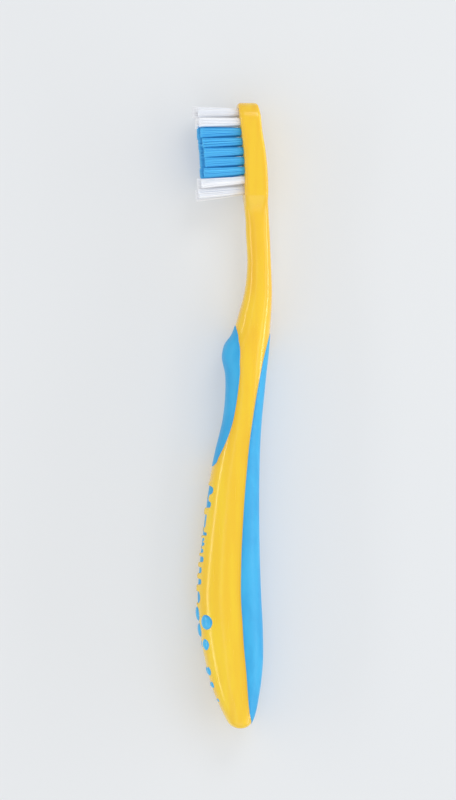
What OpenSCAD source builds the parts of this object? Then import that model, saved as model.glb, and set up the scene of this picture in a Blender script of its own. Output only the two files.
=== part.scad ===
// Junior manual toothbrush with soft grip pads.
// It lies on its side: +Y runs from the butt to the toe of the head, the bristles
// point to -X, and Z is the sideways direction, from the rest plane up.

/* [Overall] */
// Length over all, from the butt face to the toe
brush_len = 160; // [130:1:200]
// Length of the brush head, from its shoulder to the toe
head_len = 24.8; // [22.6:0.2:30]

/* [Handle sections] */
// Depth of the grip at its thickest, front to back
grip_depth = 16.6; // [13:0.1:20]
// Width of the grip at its widest, side to side
grip_width = 14; // [11:0.1:17]
// Depth of the handle at the crest of the thumb rest
thumb_depth = 12.1; // [10:0.1:15]
// Width of the handle at the thumb rest
thumb_width = 11.8; // [9:0.1:14]
// Depth of the neck at its thinnest
neck_depth = 6.15; // [5:0.05:8]
// Width of the neck at its thinnest
neck_width = 5.8; // [4.5:0.1:8]
// Thickness of the head
head_depth = 6.1; // [4.6:0.1:7]
// Width of the head
head_width = 11.2; // [10.4:0.1:14]
// How far the back hollow lies in front of the neck's back line
back_sway = 3.3; // [1:0.1:5]
// How far the toe leans from the neck's back line towards the bristles
head_nod = 3.9; // [2:0.1:5]
// Radius of the rounding at the butt
butt_round = 1.6; // [1:0.1:2]
// Radius of the rounding at the toe, seen from the side
toe_round = 0.8; // [0.4:0.1:1.4]
// Length over which the toe narrows to its rounded outline
toe_len = 5; // [3.6:0.1:7]

/* [Soft pads] */
// Thickness of the soft pads
pad_t = 1.5; // [0.9:0.1:2.2]
// How far the middle of a soft pad stands proud of the handle's line
pad_crown = 0.15; // [0:0.05:0.5]
// Gap between a soft pad and its pocket
bond_gap = 0.02; // [0.01:0.01:0.05]
// Sideways run of a pocket wall over its depth
wall_draft = 0.25; // [0.15:0.05:0.4]
// Butt face to the lower end of the thumb pad
thumb_pad_start = 67; // [64:0.5:72]
// Length of the thumb pad
thumb_pad_len = 36; // [24:0.5:44]
// Butt face to the lower end of the front grip
front_grip_start = 31.7; // [29:0.1:33]
// Length of the front grip
front_grip_len = 30.5; // [20:0.5:31]
// Width of the front grip over its longest fingers
front_grip_width = 8.2; // [7:0.1:9]
// How far the front grip lies below the handle's line
grip_recess = 0.4; // [0.1:0.05:0.6]
// Butt face to the lower end of the back grip
back_grip_start = 1; // [0.7:0.1:4]
// Length of the back grip
back_grip_len = 100; // [60:1:104]

/* [Grip bubbles] */
// Depth of a bubble's seat below the handle's surface
bubble_seat = 1.2; // [0.8:0.1:2]
// Height of the crown of the largest bubble
bubble_crown = 0.35; // [0.2:0.05:0.8]
// Diameter of the largest bubble
bubble_d = 4; // [3:0.1:4]

/* [Bristles] */
// Distance between tuft rows
row_pitch = 2.48; // [2.3:0.02:2.6]
// Distance between tuft columns
col_pitch = 2.45; // [2.3:0.05:2.6]
// Toe to the first row of tufts
toe_gap = 2.5; // [2.2:0.1:3]
// Diameter of a tuft hole
hole_d = 1.8; // [1.5:0.05:2]
// Depth of a tuft hole
hole_depth = 3; // [2:0.1:3.4]
// Height of the longest tuft above the face of the head
bristle_h = 12; // [8:0.1:13]
// Diameter over a tuft's tip
tip_d = 2.36; // [1.8:0.02:2.4]
// Thickness of one strand over its corners
strand_d = 0.3; // [0.2:0.02:0.34]
// Strands in one tuft
strand_count = 13; // [9:1:14]
// Lean of the last row of tufts towards the butt, in degrees
heel_lean = 5.8; // [0:0.2:8]

/* [Tuft anchors] */
// Thickness of an anchor plate
anchor_t = 0.3; // [0.2:0.05:0.4]
// Height of an anchor plate along its hole
anchor_h = 1.3; // [0.8:0.1:1.6]
// Gap between an anchor, its tuft and its hole
anchor_gap = 0.02; // [0.01:0.01:0.05]

/* [Hidden] */
handle_len = brush_len - head_len;
overrun = 1;
yellow = [0.96, 0.80, 0.26];
soft_blue = [0.34, 0.74, 0.94];
bristle_blue = [0.31, 0.70, 0.92];
bristle_white = [0.94, 0.94, 0.97];

// Sections of the handle, from the butt up. Each row: place along the handle, back offset as
// a share of back_sway, then depth and width as shares of the zone's own sizes.
grip_shares = [
    [0, 1.76, 0.29, 0.66],
    [0.024, 1.37, 0.47, 0.72],
    [0.062, 1.05, 0.675, 0.80],
    [0.118, 0.775, 0.862, 0.90],
    [0.190, 0.775, 0.962, 0.98],
    [0.242, 0.885, 0.982, 1],
    [0.308, 0.985, 0.932, 1],
    [0.394, 1.045, 0.842, 0.96],
    [0.474, 1.035, 0.752, 0.90],
    [0.526, 0.985, 0.672, 0.86],
    [0.583, 0.845, 0.588, 0.83],
    [0.627, 0.665, 0.583, 0.82],
];
thumb_shares = [
    [0.668, 0.495, 0.845, 0.99],
    [0.708, 0.30, 0.966, 1],
    [0.729, 0.225, 0.92, 0.97],
    [0.744, 0.18, 0.81, 0.92],
    [0.761, 0.135, 0.748, 0.86],
    [0.781, 0.07, 0.70, 0.78],
];
neck_shares = [
    [0.826, 0, 1.15, 1.30],
    [0.877, 0.07, 1, 1.06],
    [0.939, 0.18, 1, 1],
    [0.965, 0.25, 0.98, 1.02],
    [0.985, 0.3, 1.0, 1.27],
];
// Sections of the head, from its shoulder to the toe, with back offsets as shares of head_nod
head_shares = [
    [0, 0.30, 1, 0.88],
    [0.035, 0.30, 1.01, 0.97],
    [0.08, 0.305, 1.01, 1],
    [0.14, 0.31, 1.016, 1],
    [0.31, 0.36, 0.997, 1],
    [0.515, 0.50, 0.963, 1],
    [0.72, 0.71, 0.925, 1],
    [0.876, 0.815, 0.916, 1],
    [1, 1, 0.836, 1],
];
// How square the sections are: the power of the superellipse, along the whole brush
square_shares = [[0, 2.6], [0.2, 2.5], [0.6, 2.4], [0.8, 2.4], [0.835, 3.2], [0.855, 4.6], [1, 4.6]];

// Half width of each pad as the angle that it spans from its middle line, along the pad
thumb_edge_shares = [
    [0, 9], [0.015, 23], [0.0625, 34], [0.136, 47], [0.279, 59], [0.425, 64.5],
    [0.57, 69], [0.715, 74.5], [0.805, 76], [0.863, 70], [0.906, 58], [0.948, 41],
    [0.985, 21], [1, 9],
];
back_edge_shares = [
    [0, 16], [0.004, 27], [0.023, 56], [0.042, 64], [0.079, 69.5], [0.132, 73.5], [0.184, 76],
    [0.276, 76], [0.461, 74.5], [0.573, 71.8], [0.66, 69.3], [0.753, 67.5], [0.845, 60.5],
    [0.906, 50], [0.937, 43], [0.968, 33], [0.99, 21], [1, 9],
];
// The front grip has round-ended fingers along both sides. Each row: lower edge, upper edge
// and reach of one finger. The handle shows between the fingers, up to the notch reaches.
finger_shares = [
    [0.013, 0.108, 0.8], [0.166, 0.213, 0.86], [0.262, 0.311, 0.78], [0.354, 0.402, 0.9],
    [0.433, 0.463, 0.77], [0.494, 0.519, 0.82], [0.534, 0.556, 0.74], [0.577, 0.604, 0.94],
    [0.651, 0.751, 0.64], [0.81, 0.861, 0.98], [0.924, 0.985, 1],
];
notch_shares = [0.15, 0.2, 0.2, 0.32, 0.5, 0.56, 0.17, 0.5, 0.22, 0.58];
// Bulge of the front grip's two ends, as a share of its half width
end_bulge_share = 0.1;

// Grip bubbles: distance below the front grip as a share of bubble_d, angle from the front
// line, diameter share
bubble_shares = [
    [0.59, 0, 1], [1.655, 0, 0.95],
    [1.115, 39, 0.97], [1.115, -39, 0.97],
    [2.55, 26, 0.74], [2.55, -26, 0.74],
    [4.26, 16, 0.6], [4.26, -16, 0.6],
    [5.14, 16, 0.45], [5.14, -16, 0.45],
    [6.12, 19, 0.27], [6.12, -19, 0.27],
];

// Tufts: height of the outer and the inner columns in each row, from the toe
outer_trim_shares = [0.865, 0.875, 0.865, 0.85, 0.84, 0.835, 0.865, 0.93, 0.98];
inner_trim_shares = [0.98, 0.926, 0.904, 0.903, 0.903, 0.907, 0.918, 0.985, 1.025];
row_counts = [3, 4, 4, 4, 4, 4, 4, 4, 3];
white_rows = [0, 1, 7, 8];

// Cubic curve through the knots of column c of table t
function knot(t, x, i = 0) = i >= len(t) - 2 || x < t[i + 1][0] ? i : knot(t, x, i + 1);
function secant(t, i, c) = (t[i + 1][c] - t[i][c]) / (t[i + 1][0] - t[i][0]);
function tangent(t, i, c) =
    i == 0 ? secant(t, 0, c) :
    i == len(t) - 1 ? secant(t, i - 1, c) :
    let (below = t[i][0] - t[i - 1][0], above = t[i + 1][0] - t[i][0])
    (secant(t, i - 1, c) * above + secant(t, i, c) * below) / (below + above);
function curve(t, x, c = 1) =
    let (i = knot(t, x), run = t[i + 1][0] - t[i][0], u = (x - t[i][0]) / run)
    (1 + 2 * u) * (1 - u) ^ 2 * t[i][c] + u * (1 - u) ^ 2 * run * tangent(t, i, c)
        + u ^ 2 * (3 - 2 * u) * t[i + 1][c] - u ^ 2 * (1 - u) * run * tangent(t, i + 1, c);
function straight(t, x, c = 1) =
    let (i = knot(t, x))
    t[i][c] + (x - t[i][0]) * secant(t, i, c);
function signed_power(v, p) = sign(v) * abs(v) ^ p;
function sorted(v) = len(v) < 2 ? v :
    let (mid = v[floor(len(v) / 2)])
    concat(sorted([for (e = v) if (e < mid) e]), [mid], sorted([for (e = v) if (e > mid) e]));

// Knots of the whole outline: place, back offset, depth, width
function zone(shares, start, run, offset, depth, width) =
    [for (s = shares) [start + s[0] * run, s[1] * offset, s[2] * depth, s[3] * width]];
knots = concat(
    zone(grip_shares, 0, handle_len, back_sway, grip_depth, grip_width),
    zone(thumb_shares, 0, handle_len, back_sway, thumb_depth, thumb_width),
    zone(neck_shares, 0, handle_len, back_sway, neck_depth, neck_width),
    zone(head_shares, handle_len, head_len, head_nod, head_depth, head_width));

// Ends: a quarter round all the way round, and the toe's outline seen from the front
function round_in(y) =
    y < butt_round ? butt_round - sqrt(butt_round ^ 2 - (butt_round - y) ^ 2) :
    y > brush_len - toe_round ?
        toe_round - sqrt(max(0, toe_round ^ 2 - (y - brush_len + toe_round) ^ 2)) : 0;
toe_flat_share = 0.42;
toe_power = 2.2;
function toe_share(y) =
    let (u = max(0, (y - brush_len + toe_len) / toe_len))
    (1 - (1 - toe_flat_share ^ toe_power) * u ^ toe_power) ^ (1 / toe_power);

// One section: place, middle, half depth, half width, power
function section(y) =
    let (back = -curve(knots, y, 1), depth = curve(knots, y, 2), inset = round_in(y))
    [
        y, back - depth / 2, depth / 2 - inset,
        curve(knots, y, 3) / 2 * toe_share(y) - inset, straight(square_shares, y / brush_len),
    ];
function skin_point(s, angle, inset = 0) = [
    s[1] + (s[2] - inset) * signed_power(cos(angle), 2 / s[4]),
    s[0],
    (s[3] - inset) * signed_power(sin(angle), 2 / s[4]),
];

// Edges of the pads as angles from the front line and from the back line
thumb_pad_end = thumb_pad_start + thumb_pad_len;
back_grip_end = back_grip_start + back_grip_len;
thumb_tip_angle = thumb_edge_shares[0][1];
free_angle = 45;
function blend(y, y0, y1, a0, a1) = a0 + (a1 - a0) * (1 - cos(180 * (y - y0) / (y1 - y0))) / 2;
function front_angle(y) =
    y < front_grip_start ? free_angle :
    y < thumb_pad_start ? blend(y, front_grip_start, thumb_pad_start, free_angle, thumb_tip_angle) :
    y < thumb_pad_end ? curve(thumb_edge_shares, (y - thumb_pad_start) / thumb_pad_len) :
    y < handle_len ? blend(y, thumb_pad_end, handle_len, thumb_tip_angle, free_angle) :
    free_angle;
function back_angle(y) =
    y < back_grip_start ? back_edge_shares[0][1] :
    y < back_grip_end ? curve(back_edge_shares, (y - back_grip_start) / back_grip_len) :
    y < handle_len ? blend(y, back_grip_end, handle_len, thumb_tip_angle, free_angle) :
    free_angle;
function draft_angle(s) = wall_draft / (s[2] + s[3]) * 360 / PI;

// Rows of sections: those that a pocket's ends need, and those that follow the shape
thumb_pocket = [thumb_pad_start, thumb_pad_end];
back_pocket = [back_grip_start, back_grip_end];
pockets = [thumb_pocket, back_pocket];
pocket_rows = [for (p = pockets) each [p[0], p[0] + wall_draft, p[1] - wall_draft, p[1]]];
grip_row_count = 15;
butt_row_shares = [0.1 : 0.1 : 0.9];
thumb_row_shares = [
    0.011, 0.018, 0.035, 0.0625, 0.1, 0.15, 0.21, 0.28, 0.35, 0.43, 0.5, 0.57, 0.64,
    0.7, 0.76, 0.805, 0.835, 0.863, 0.885, 0.906, 0.93, 0.95, 0.97, 0.98, 0.987,
];
neck_row_shares = [0.12, 0.25, 0.4, 0.55, 0.7, 0.81, 0.87, 0.91, 0.94, 0.965, 0.985];
head_row_shares = [0, 0.02, 0.04, 0.06, 0.09, 0.14, 0.3, 0.5, 0.7];
toe_row_shares = [0, 0.3, 0.5, 0.66, 0.78];
butt_rows = [
    for (a = [0 : 22.5 : 90]) butt_round * (1 - cos(a)),
    for (p = butt_row_shares) butt_round + p * (front_grip_start - butt_round),
];
grip_rows = [
    for (i = [0 : grip_row_count - 1])
    front_grip_start + i / grip_row_count * (thumb_pad_start - front_grip_start)
];
thumb_rows = [for (p = thumb_row_shares) thumb_pad_start + p * thumb_pad_len];
neck_rows = [for (p = neck_row_shares) thumb_pad_end + p * (handle_len - thumb_pad_end)];
head_rows = [
    for (p = head_row_shares) handle_len + p * head_len,
    for (p = toe_row_shares) brush_len - toe_len * (1 - p),
    for (a = [0 : 30 : 90]) brush_len - toe_round * (1 - cos(a)),
];
least_step = 0.14;
function lone(v, kept) = [for (y = v) if (min([for (k = kept) abs(k - y)]) > least_step) y];
rows = sorted(concat(pocket_rows,
    lone(concat(grip_rows, thumb_rows, butt_rows, neck_rows, head_rows), pocket_rows)));
function in_pocket(y, p) = y > p[0] && y < p[1];
function front_depth(y) = in_pocket(y, thumb_pocket) ? pad_t : 0;
function back_depth(y) = in_pocket(y, back_pocket) ? pad_t : 0;

// Tufts: row from the toe, column across the head
tufts = [for (r = [0 : len(row_counts) - 1], c = [0 : row_counts[r] - 1]) [r, c]];
function tuft_y(t) = brush_len - toe_gap - t[0] * row_pitch;
function tuft_z(t) = (t[1] - (row_counts[t[0]] - 1) / 2) * col_pitch;
function is_outer(t) = t[1] == 0 || t[1] == row_counts[t[0]] - 1;
function tuft_height(t) =
    bristle_h * (is_outer(t) ? outer_trim_shares[t[0]] : inner_trim_shares[t[0]]);
function tuft_root(t) =
    let (s = section(tuft_y(t)), z = tuft_z(t))
    [s[1] - s[2] * (1 - abs(z / s[3]) ^ s[4]) ^ (1 / s[4]), s[0], z];
function tuft_axis(t) = [-1, -tan(heel_lean * t[0] / (len(row_counts) - 1)), 0];
function tuft_name(t) = str("tuft_", t[0] + 1, "_", t[1] + 1);

// The brush sits in its frame: bounding box centred, lowest side on the rest plane
rest_half = max([for (y = rows) section(y)[3]]);
tip_reach = max([for (t = tufts) -tuft_root(t)[0] + tuft_height(t)]);
module placed() {
    translate([tip_reach / 2, -brush_len / 2, rest_half]) children();
}

// Closed skin over rings of points, with a flat face at both ends
module skin(rings) {
    n = len(rings[0]);
    last = len(rings) - 1;
    polyhedron(
        points = [for (r = rings) each r],
        faces = concat(
            [[for (i = [n - 1 : -1 : 0]) i]],
            [
                for (k = [0 : last - 1], i = [0 : n - 1])
                let (a = k * n + i, b = k * n + (i + 1) % n)
                each [[a, b, b + n], [a, b + n, a + n]]
            ],
            [[for (i = [0 : n - 1]) last * n + i]]));
}

// Closed slab between an outer grid and a floor grid that is one place smaller on every side
module slab(outer, floor_grid) {
    rows_last = len(outer) - 1;
    cols_last = len(outer[0]) - 1;
    base = (rows_last + 1) * (cols_last + 1);
    function top_id(p) = p[0] * (cols_last + 1) + p[1];
    function floor_id(p) = base
        + (min(max(p[0], 1), rows_last - 1) - 1) * (cols_last - 1)
        + min(max(p[1], 1), cols_last - 1) - 1;
    loop = concat(
        [for (i = [0 : cols_last - 1]) [0, i]],
        [for (k = [0 : rows_last - 1]) [k, cols_last]],
        [for (i = [cols_last : -1 : 1]) [rows_last, i]],
        [for (k = [rows_last : -1 : 1]) [k, 0]]);
    polyhedron(
        points = concat([for (r = outer) each r], [for (r = floor_grid) each r]),
        faces = concat(
            [
                for (k = [0 : rows_last - 1], i = [0 : cols_last - 1])
                let (a = top_id([k, i]), b = top_id([k + 1, i]))
                each [[a, a + 1, b + 1], [a, b + 1, b]]
            ],
            [
                for (k = [1 : rows_last - 2], i = [1 : cols_last - 2])
                let (a = floor_id([k, i]), b = floor_id([k + 1, i]))
                each [[a, b + 1, a + 1], [a, b, b + 1]]
            ],
            [
                for (j = [0 : len(loop) - 1])
                let (
                    p = loop[j], q = loop[(j + 1) % len(loop)],
                    tp = top_id(p), tq = top_id(q), fp = floor_id(p), fq = floor_id(q)
                )
                each fp == fq ? [[tq, tp, fp]] : [[tq, tp, fp], [tq, fp, fq]]
            ]));
}

back_steps = 4;
side_steps = 8;
front_steps = 5;

// One ring of the core: pocket floor at the back, bare side, pocket floor at the front. The
// angles of the bare side keep their places, and give way to a pad's edge near it.
function side_angle(i, back_edge, front_edge) =
    let (u = i / side_steps)
    free_angle + 2 * free_angle * u
        + (back_edge - free_angle) * (1 - u) ^ 2 + (front_edge - 3 * free_angle) * u ^ 2;
function core_ring(y) =
    let (
        s = section(y), draft = draft_angle(s),
        back_edge = back_angle(y), front_edge = 180 - front_angle(y),
        half = concat(
            [for (i = [0 : back_steps]) [(back_edge - draft) * i / back_steps, back_depth(y)]],
            [for (i = [0 : side_steps]) [side_angle(i, back_edge, front_edge), 0]],
            [
                for (i = [0 : front_steps])
                [front_edge + draft + (180 - front_edge - draft) * i / front_steps, front_depth(y)]
            ])
    )
    [
        for (h = half) skin_point(s, h[0], h[1]),
        for (i = [len(half) - 2 : -1 : 1]) skin_point(s, -half[i][0], half[i][1]),
    ];

module core_body() {
    skin([for (y = rows) core_ring(y)]);
}

// A soft pad, crowned between its edges: middle is the angle of its middle line
crown_end_power = 0.35;
function pad_half_angle(y, middle) = middle == 0 ? back_angle(y) : front_angle(y);
function spread(half, steps) = [for (i = [-steps : steps]) half * i / steps];
module pad(pocket, middle, steps) {
    low = pocket[0] + bond_gap;
    high = pocket[1] - bond_gap;
    inner = [for (y = rows) if (y > pocket[0] && y < pocket[1]) y];
    outer_rows = concat([low], inner, [high]);
    floor_low = inner[0] + bond_gap;
    floor_high = inner[len(inner) - 1] - bond_gap;
    function crown(y, share) =
        -pad_crown * (1 - share ^ 2) * max(0, sin(180 * (y - low) / (high - low))) ^ crown_end_power;
    outer = [
        for (y = outer_rows)
        let (
            s = section(y), draft = draft_angle(s), gap = draft * bond_gap / wall_draft,
            half = pad_half_angle(y, middle) - gap
        )
        [
            skin_point(s, middle - half),
            for (a = spread(half - draft, steps)) skin_point(s, middle + a, crown(y, a / half)),
            skin_point(s, middle + half),
        ]
    ];
    floors = [
        for (row = inner)
        let (
            y = min(max(row, floor_low), floor_high),
            s = section(y), draft = draft_angle(s), gap = draft * bond_gap / wall_draft,
            half = pad_half_angle(y, middle) - gap - draft
        )
        [for (a = spread(half, steps)) skin_point(s, middle + a, pad_t - bond_gap)]
    ];
    slab(outer, floors);
}

module thumb_pad() {
    color(soft_blue) placed() pad(thumb_pocket, 180, front_steps);
}

module back_grip() {
    color(soft_blue) placed() pad(back_pocket, 0, back_steps);
}

// Place and direction on the handle's skin, for what is set square into it
probe = 0.5;
function skin_normal(y, angle) =
    let (
        along = skin_point(section(y + probe), angle) - skin_point(section(y - probe), angle),
        across = skin_point(section(y), angle + 1) - skin_point(section(y), angle - 1),
        n = cross(along, across)
    )
    n / norm(n);
module face_along(place, direction) {
    translate(place)
        rotate([0, acos(direction[2] / norm(direction)), atan2(direction[1], direction[0])])
            children();
}
module on_skin(y, angle) {
    face_along(skin_point(section(y), 180 - angle), skin_normal(y, 180 - angle)) children();
}

// The front grip: a shell in the front of the handle, cut to its outline and set a little deep
shell_row_count = 16;
shell_steps = 6;
shell_angle = 66;
shell_floor_angle = 54;
module front_shell(proud, depth) {
    shell_rows = [
        for (i = [-1 : shell_row_count + 1]) front_grip_start + i / shell_row_count * front_grip_len
    ];
    outer_angles = spread(shell_angle, shell_steps);
    floor_angles = spread(shell_floor_angle, shell_steps - 1);
    slab(
        [for (y = shell_rows) [for (a = outer_angles) skin_point(section(y), 180 + a, -proud)]],
        [
            for (i = [1 : len(shell_rows) - 2])
            [for (a = floor_angles) skin_point(section(shell_rows[i]), 180 + a, depth)]
        ]);
}
function grip_y(share) = front_grip_start + share * front_grip_len;
function grip_z(share) = share * front_grip_width / 2;
arc_steps = 8;

// Each notch: middle, height of its round end's centre, half width, depth of the round end
notches = [
    for (i = [0 : len(notch_shares) - 1])
    let (
        low = grip_y(finger_shares[i][1]), high = grip_y(finger_shares[i + 1][0]),
        tip = grip_z(notch_shares[i]),
        reach = grip_z(min(finger_shares[i][2], finger_shares[i + 1][2])),
        half = (high - low) / 2, depth = min(half, (reach - tip) / 2)
    )
    [(low + high) / 2, tip + depth, half, depth]
];
function finger_end(i, gap) =
    let (
        f = finger_shares[i], low = grip_y(f[0]), high = grip_y(f[1]), reach = grip_z(f[2]),
        base = max([for (k = [i - 1, i]) if (k >= 0 && k < len(notches)) notches[k][1]]),
        r = min((high - low) / 2, reach - base)
    )
    [
        for (k = [0 : arc_steps])
        let (a = 180 * (1 - k / arc_steps))
        [
            (low + high) / 2 + (r - gap) * cos(a) + sign(2 * k - arc_steps) * ((high - low) / 2 - r),
            reach - r + (r - gap) * sin(a)
        ]
    ];
function notch_end(n, gap) = [
    for (k = [0 : arc_steps])
    let (a = 180 * (1 + k / arc_steps))
    [n[0] + (n[2] + gap) * cos(a), n[1] + (n[3] + gap) * sin(a)]
];
function end_bulge(corner, side) = [
    for (k = [1 : 2 * arc_steps - 1])
    let (u = k / arc_steps - 1)
    [corner[0] + side * grip_z(end_bulge_share) * (1 - u ^ 2), -side * u * corner[1]]
];
module grip_outline(gap) {
    last = len(finger_shares) - 1;
    side = [
        for (i = [0 : last])
        each concat(finger_end(i, gap), i < last ? notch_end(notches[i], gap) : [])
    ];
    polygon(concat(side, end_bulge(side[len(side) - 1], 1),
        [for (i = [len(side) - 1 : -1 : 0]) [side[i][0], -side[i][1]]], end_bulge(side[0], -1)));
}
module grip_column(gap) {
    middle = section(grip_y(0.5))[1];
    translate([middle - grip_depth, 0, 0])
        rotate([90, 0, 90]) linear_extrude(grip_depth) grip_outline(gap);
}
module front_grip() {
    color(soft_blue) placed() intersection() {
        front_shell(-grip_recess, pad_t - bond_gap);
        grip_column(bond_gap);
    }
}
module front_grip_pocket() {
    intersection() {
        front_shell(overrun, pad_t);
        grip_column(0);
    }
}

// A bubble: a round plug in its seat, with a domed crown over the handle's skin
function bubble_y(b) = front_grip_start - b[0] * bubble_d;
module bubble(b) {
    r = b[2] * bubble_d / 2;
    dome = bubble_crown * b[2];
    sink = r ^ 2 / grip_width;
    dome_r = (r ^ 2 + (dome + sink) ^ 2) / (2 * (dome + sink));
    color(soft_blue) placed() on_skin(bubble_y(b), b[1]) intersection() {
        translate([0, 0, -bubble_seat]) cylinder(h = bubble_seat + dome, r = r, $fn = 48);
        translate([0, 0, dome - dome_r]) sphere(r = dome_r, $fn = 48);
    }
}

module bubble_seats() {
    for (b = bubble_shares) {
        on_skin(bubble_y(b), b[1])
            translate([0, 0, -bubble_seat - bond_gap])
                cylinder(h = bubble_seat + overrun, r = b[2] * bubble_d / 2 + bond_gap, $fn = 48);
    }
}

module at_root(t) {
    face_along(tuft_root(t), tuft_axis(t)) children();
}

module tuft_holes() {
    for (t = tufts) {
        at_root(t)
            translate([0, 0, -hole_depth]) cylinder(h = hole_depth + overrun, d = hole_d, $fn = 32);
    }
}

// The strands of a tuft start on a spiral at the root and fan out to the tip
golden_angle = 137.508;
plug_r = hole_d / 2 - bond_gap;
module strand(i, height) {
    share = sqrt((i + 0.5) / strand_count);
    root_r = (plug_r - strand_d / 2) * share;
    fan_r = (tip_d - strand_d) / 2 * share;
    angle = i * golden_angle;
    low = [root_r * cos(angle), root_r * sin(angle), -strand_d];
    high = [fan_r * cos(angle), fan_r * sin(angle), height];
    face_along(low, high - low) cylinder(h = norm(high - low), d = strand_d, $fn = 4);
}

module tuft(t) {
    white = len(search(t[0], white_rows)) > 0;
    color(white ? bristle_white : bristle_blue) placed() at_root(t) {
        difference() {
            union() {
                translate([0, 0, bond_gap - hole_depth])
                    cylinder(h = hole_depth - bond_gap, r = plug_r, $fn = 32);
                for (i = [0 : strand_count - 1]) strand(i, tuft_height(t));
            }
            anchor_plate(anchor_gap);
        }
    }
}

// An anchor stands on edge across the bottom of its hole, with the tuft folded over it
module anchor_plate(gap) {
    reach = gap > 0 ? hole_d / 2 + overrun : hole_d / 2 - anchor_gap;
    translate([-anchor_t / 2 - gap, -reach, anchor_gap - hole_depth - gap - (gap > 0 ? overrun : 0)])
        cube([anchor_t + 2 * gap, 2 * reach, anchor_h + 2 * gap + (gap > 0 ? overrun : 0)]);
}

module tuft_anchors() {
    color("silver") placed() for (t = tufts) at_root(t) anchor_plate(0);
}

module handle_core() {
    color(yellow) placed() difference() {
        core_body();
        front_grip_pocket();
        bubble_seats();
        tuft_holes();
    }
}

handle_core();
thumb_pad();
front_grip();
back_grip();
tuft_anchors();
for (i = [1 : len(bubble_shares)])
    bubble(bubble_shares[i - 1]);
for (t = tufts) tuft(t);
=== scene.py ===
import logging
import math
from dataclasses import dataclass, field, replace
from enum import Enum
from typing import Mapping, Optional, Sequence, Union

import bpy
import numpy as np
from mathutils import Matrix, Vector


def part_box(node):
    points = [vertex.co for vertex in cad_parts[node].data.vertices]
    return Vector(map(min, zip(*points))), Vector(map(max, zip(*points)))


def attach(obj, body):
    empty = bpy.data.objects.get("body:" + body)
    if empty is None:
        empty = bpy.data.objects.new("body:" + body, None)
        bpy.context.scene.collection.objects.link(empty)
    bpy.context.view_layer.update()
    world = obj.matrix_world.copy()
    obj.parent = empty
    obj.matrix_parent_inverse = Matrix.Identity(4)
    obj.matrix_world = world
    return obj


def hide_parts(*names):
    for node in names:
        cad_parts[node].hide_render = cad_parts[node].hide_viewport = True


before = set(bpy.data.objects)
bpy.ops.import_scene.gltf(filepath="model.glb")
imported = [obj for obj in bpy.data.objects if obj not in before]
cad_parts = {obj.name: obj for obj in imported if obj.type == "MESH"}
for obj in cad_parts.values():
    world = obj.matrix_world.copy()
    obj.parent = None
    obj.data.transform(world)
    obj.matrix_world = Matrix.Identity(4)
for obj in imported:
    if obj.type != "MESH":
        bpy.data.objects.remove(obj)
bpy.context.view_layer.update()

# A junior manual toothbrush that lies on its side: +Y runs from the butt to the toe of the
# head, the bristles point to -X, and Z is the sideways direction. Sizes are in millimetres
# from the butt face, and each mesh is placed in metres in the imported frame.

LOG = logging.getLogger("toothbrush")
MM = 0.001
BODY = "root"
# The turn from one strand of a spiral to the next, in radians
GOLDEN_TURN = 2.39996
Colour = tuple[float, float, float, float]
Span = tuple[float, float]
Key = Union[int, str]
Places = Union[float, np.ndarray]
Input = Union["Socket", float, int, Sequence[float]]
WHITE_LIGHT: Colour = (1.0, 1.0, 1.0, 1.0)


def linear(red: float, green: float, blue: float) -> Colour:
    """Turns a screen colour into the linear colour that a shader takes.

    Args:
        red, green, blue: Channels from 0 to 255.

    Returns:
        The linear colour with full alpha.
    """
    knee, slope, offset, power = 0.04045, 12.92, 0.055, 2.4

    def channel(value: float) -> float:
        """One channel from 0 to 255, made linear."""
        v = value / 255
        return v / slope if v <= knee else ((v + offset) / (1 + offset)) ** power

    return (channel(red), channel(green), channel(blue), 1.0)


# Node trees written as expressions


@dataclass(frozen=True)
class Socket:
    """An output of a node, with the arithmetic of the Math and Vector Math nodes."""

    graph: "Graph"
    link: bpy.types.NodeSocket

    def math(self, operation: str, *others: Input) -> "Socket":
        """Feeds this value and the others through one Math node."""
        return self.graph.number(operation, self, *others)

    def vector(self, operation: str, *others: Input) -> "Socket":
        """Feeds this vector and the others through one Vector Math node."""
        values = dict(enumerate((self, *others)))
        return self.graph.node("ShaderNodeVectorMath", {"operation": operation}, values)

    def scaled(self, factor: Input) -> "Socket":
        """This vector times a number."""
        return self.graph.node(
            "ShaderNodeVectorMath", {"operation": "SCALE"}, {0: self, "Scale": factor})

    def clamped(self) -> "Socket":
        """This value kept between 0 and 1."""
        return self.math("MAXIMUM", 0.0).math("MINIMUM", 1.0)

    def __add__(self, other: Input) -> "Socket":
        """This value plus the other."""
        return self.math("ADD", other)

    def __radd__(self, other: float) -> "Socket":
        """The other value plus this."""
        return self.graph.number("ADD", other, self)

    def __sub__(self, other: Input) -> "Socket":
        """This value minus the other."""
        return self.math("SUBTRACT", other)

    def __rsub__(self, other: float) -> "Socket":
        """The other value minus this."""
        return self.graph.number("SUBTRACT", other, self)

    def __mul__(self, other: Input) -> "Socket":
        """This value times the other."""
        return self.math("MULTIPLY", other)

    def __rmul__(self, other: float) -> "Socket":
        """The other value times this."""
        return self.graph.number("MULTIPLY", other, self)

    def __truediv__(self, other: Input) -> "Socket":
        """This value divided by the other."""
        return self.math("DIVIDE", other)

    def __rtruediv__(self, other: float) -> "Socket":
        """The other value divided by this."""
        return self.graph.number("DIVIDE", other, self)

    def __pow__(self, other: Input) -> "Socket":
        """This value to a power."""
        return self.math("POWER", other)


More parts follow.
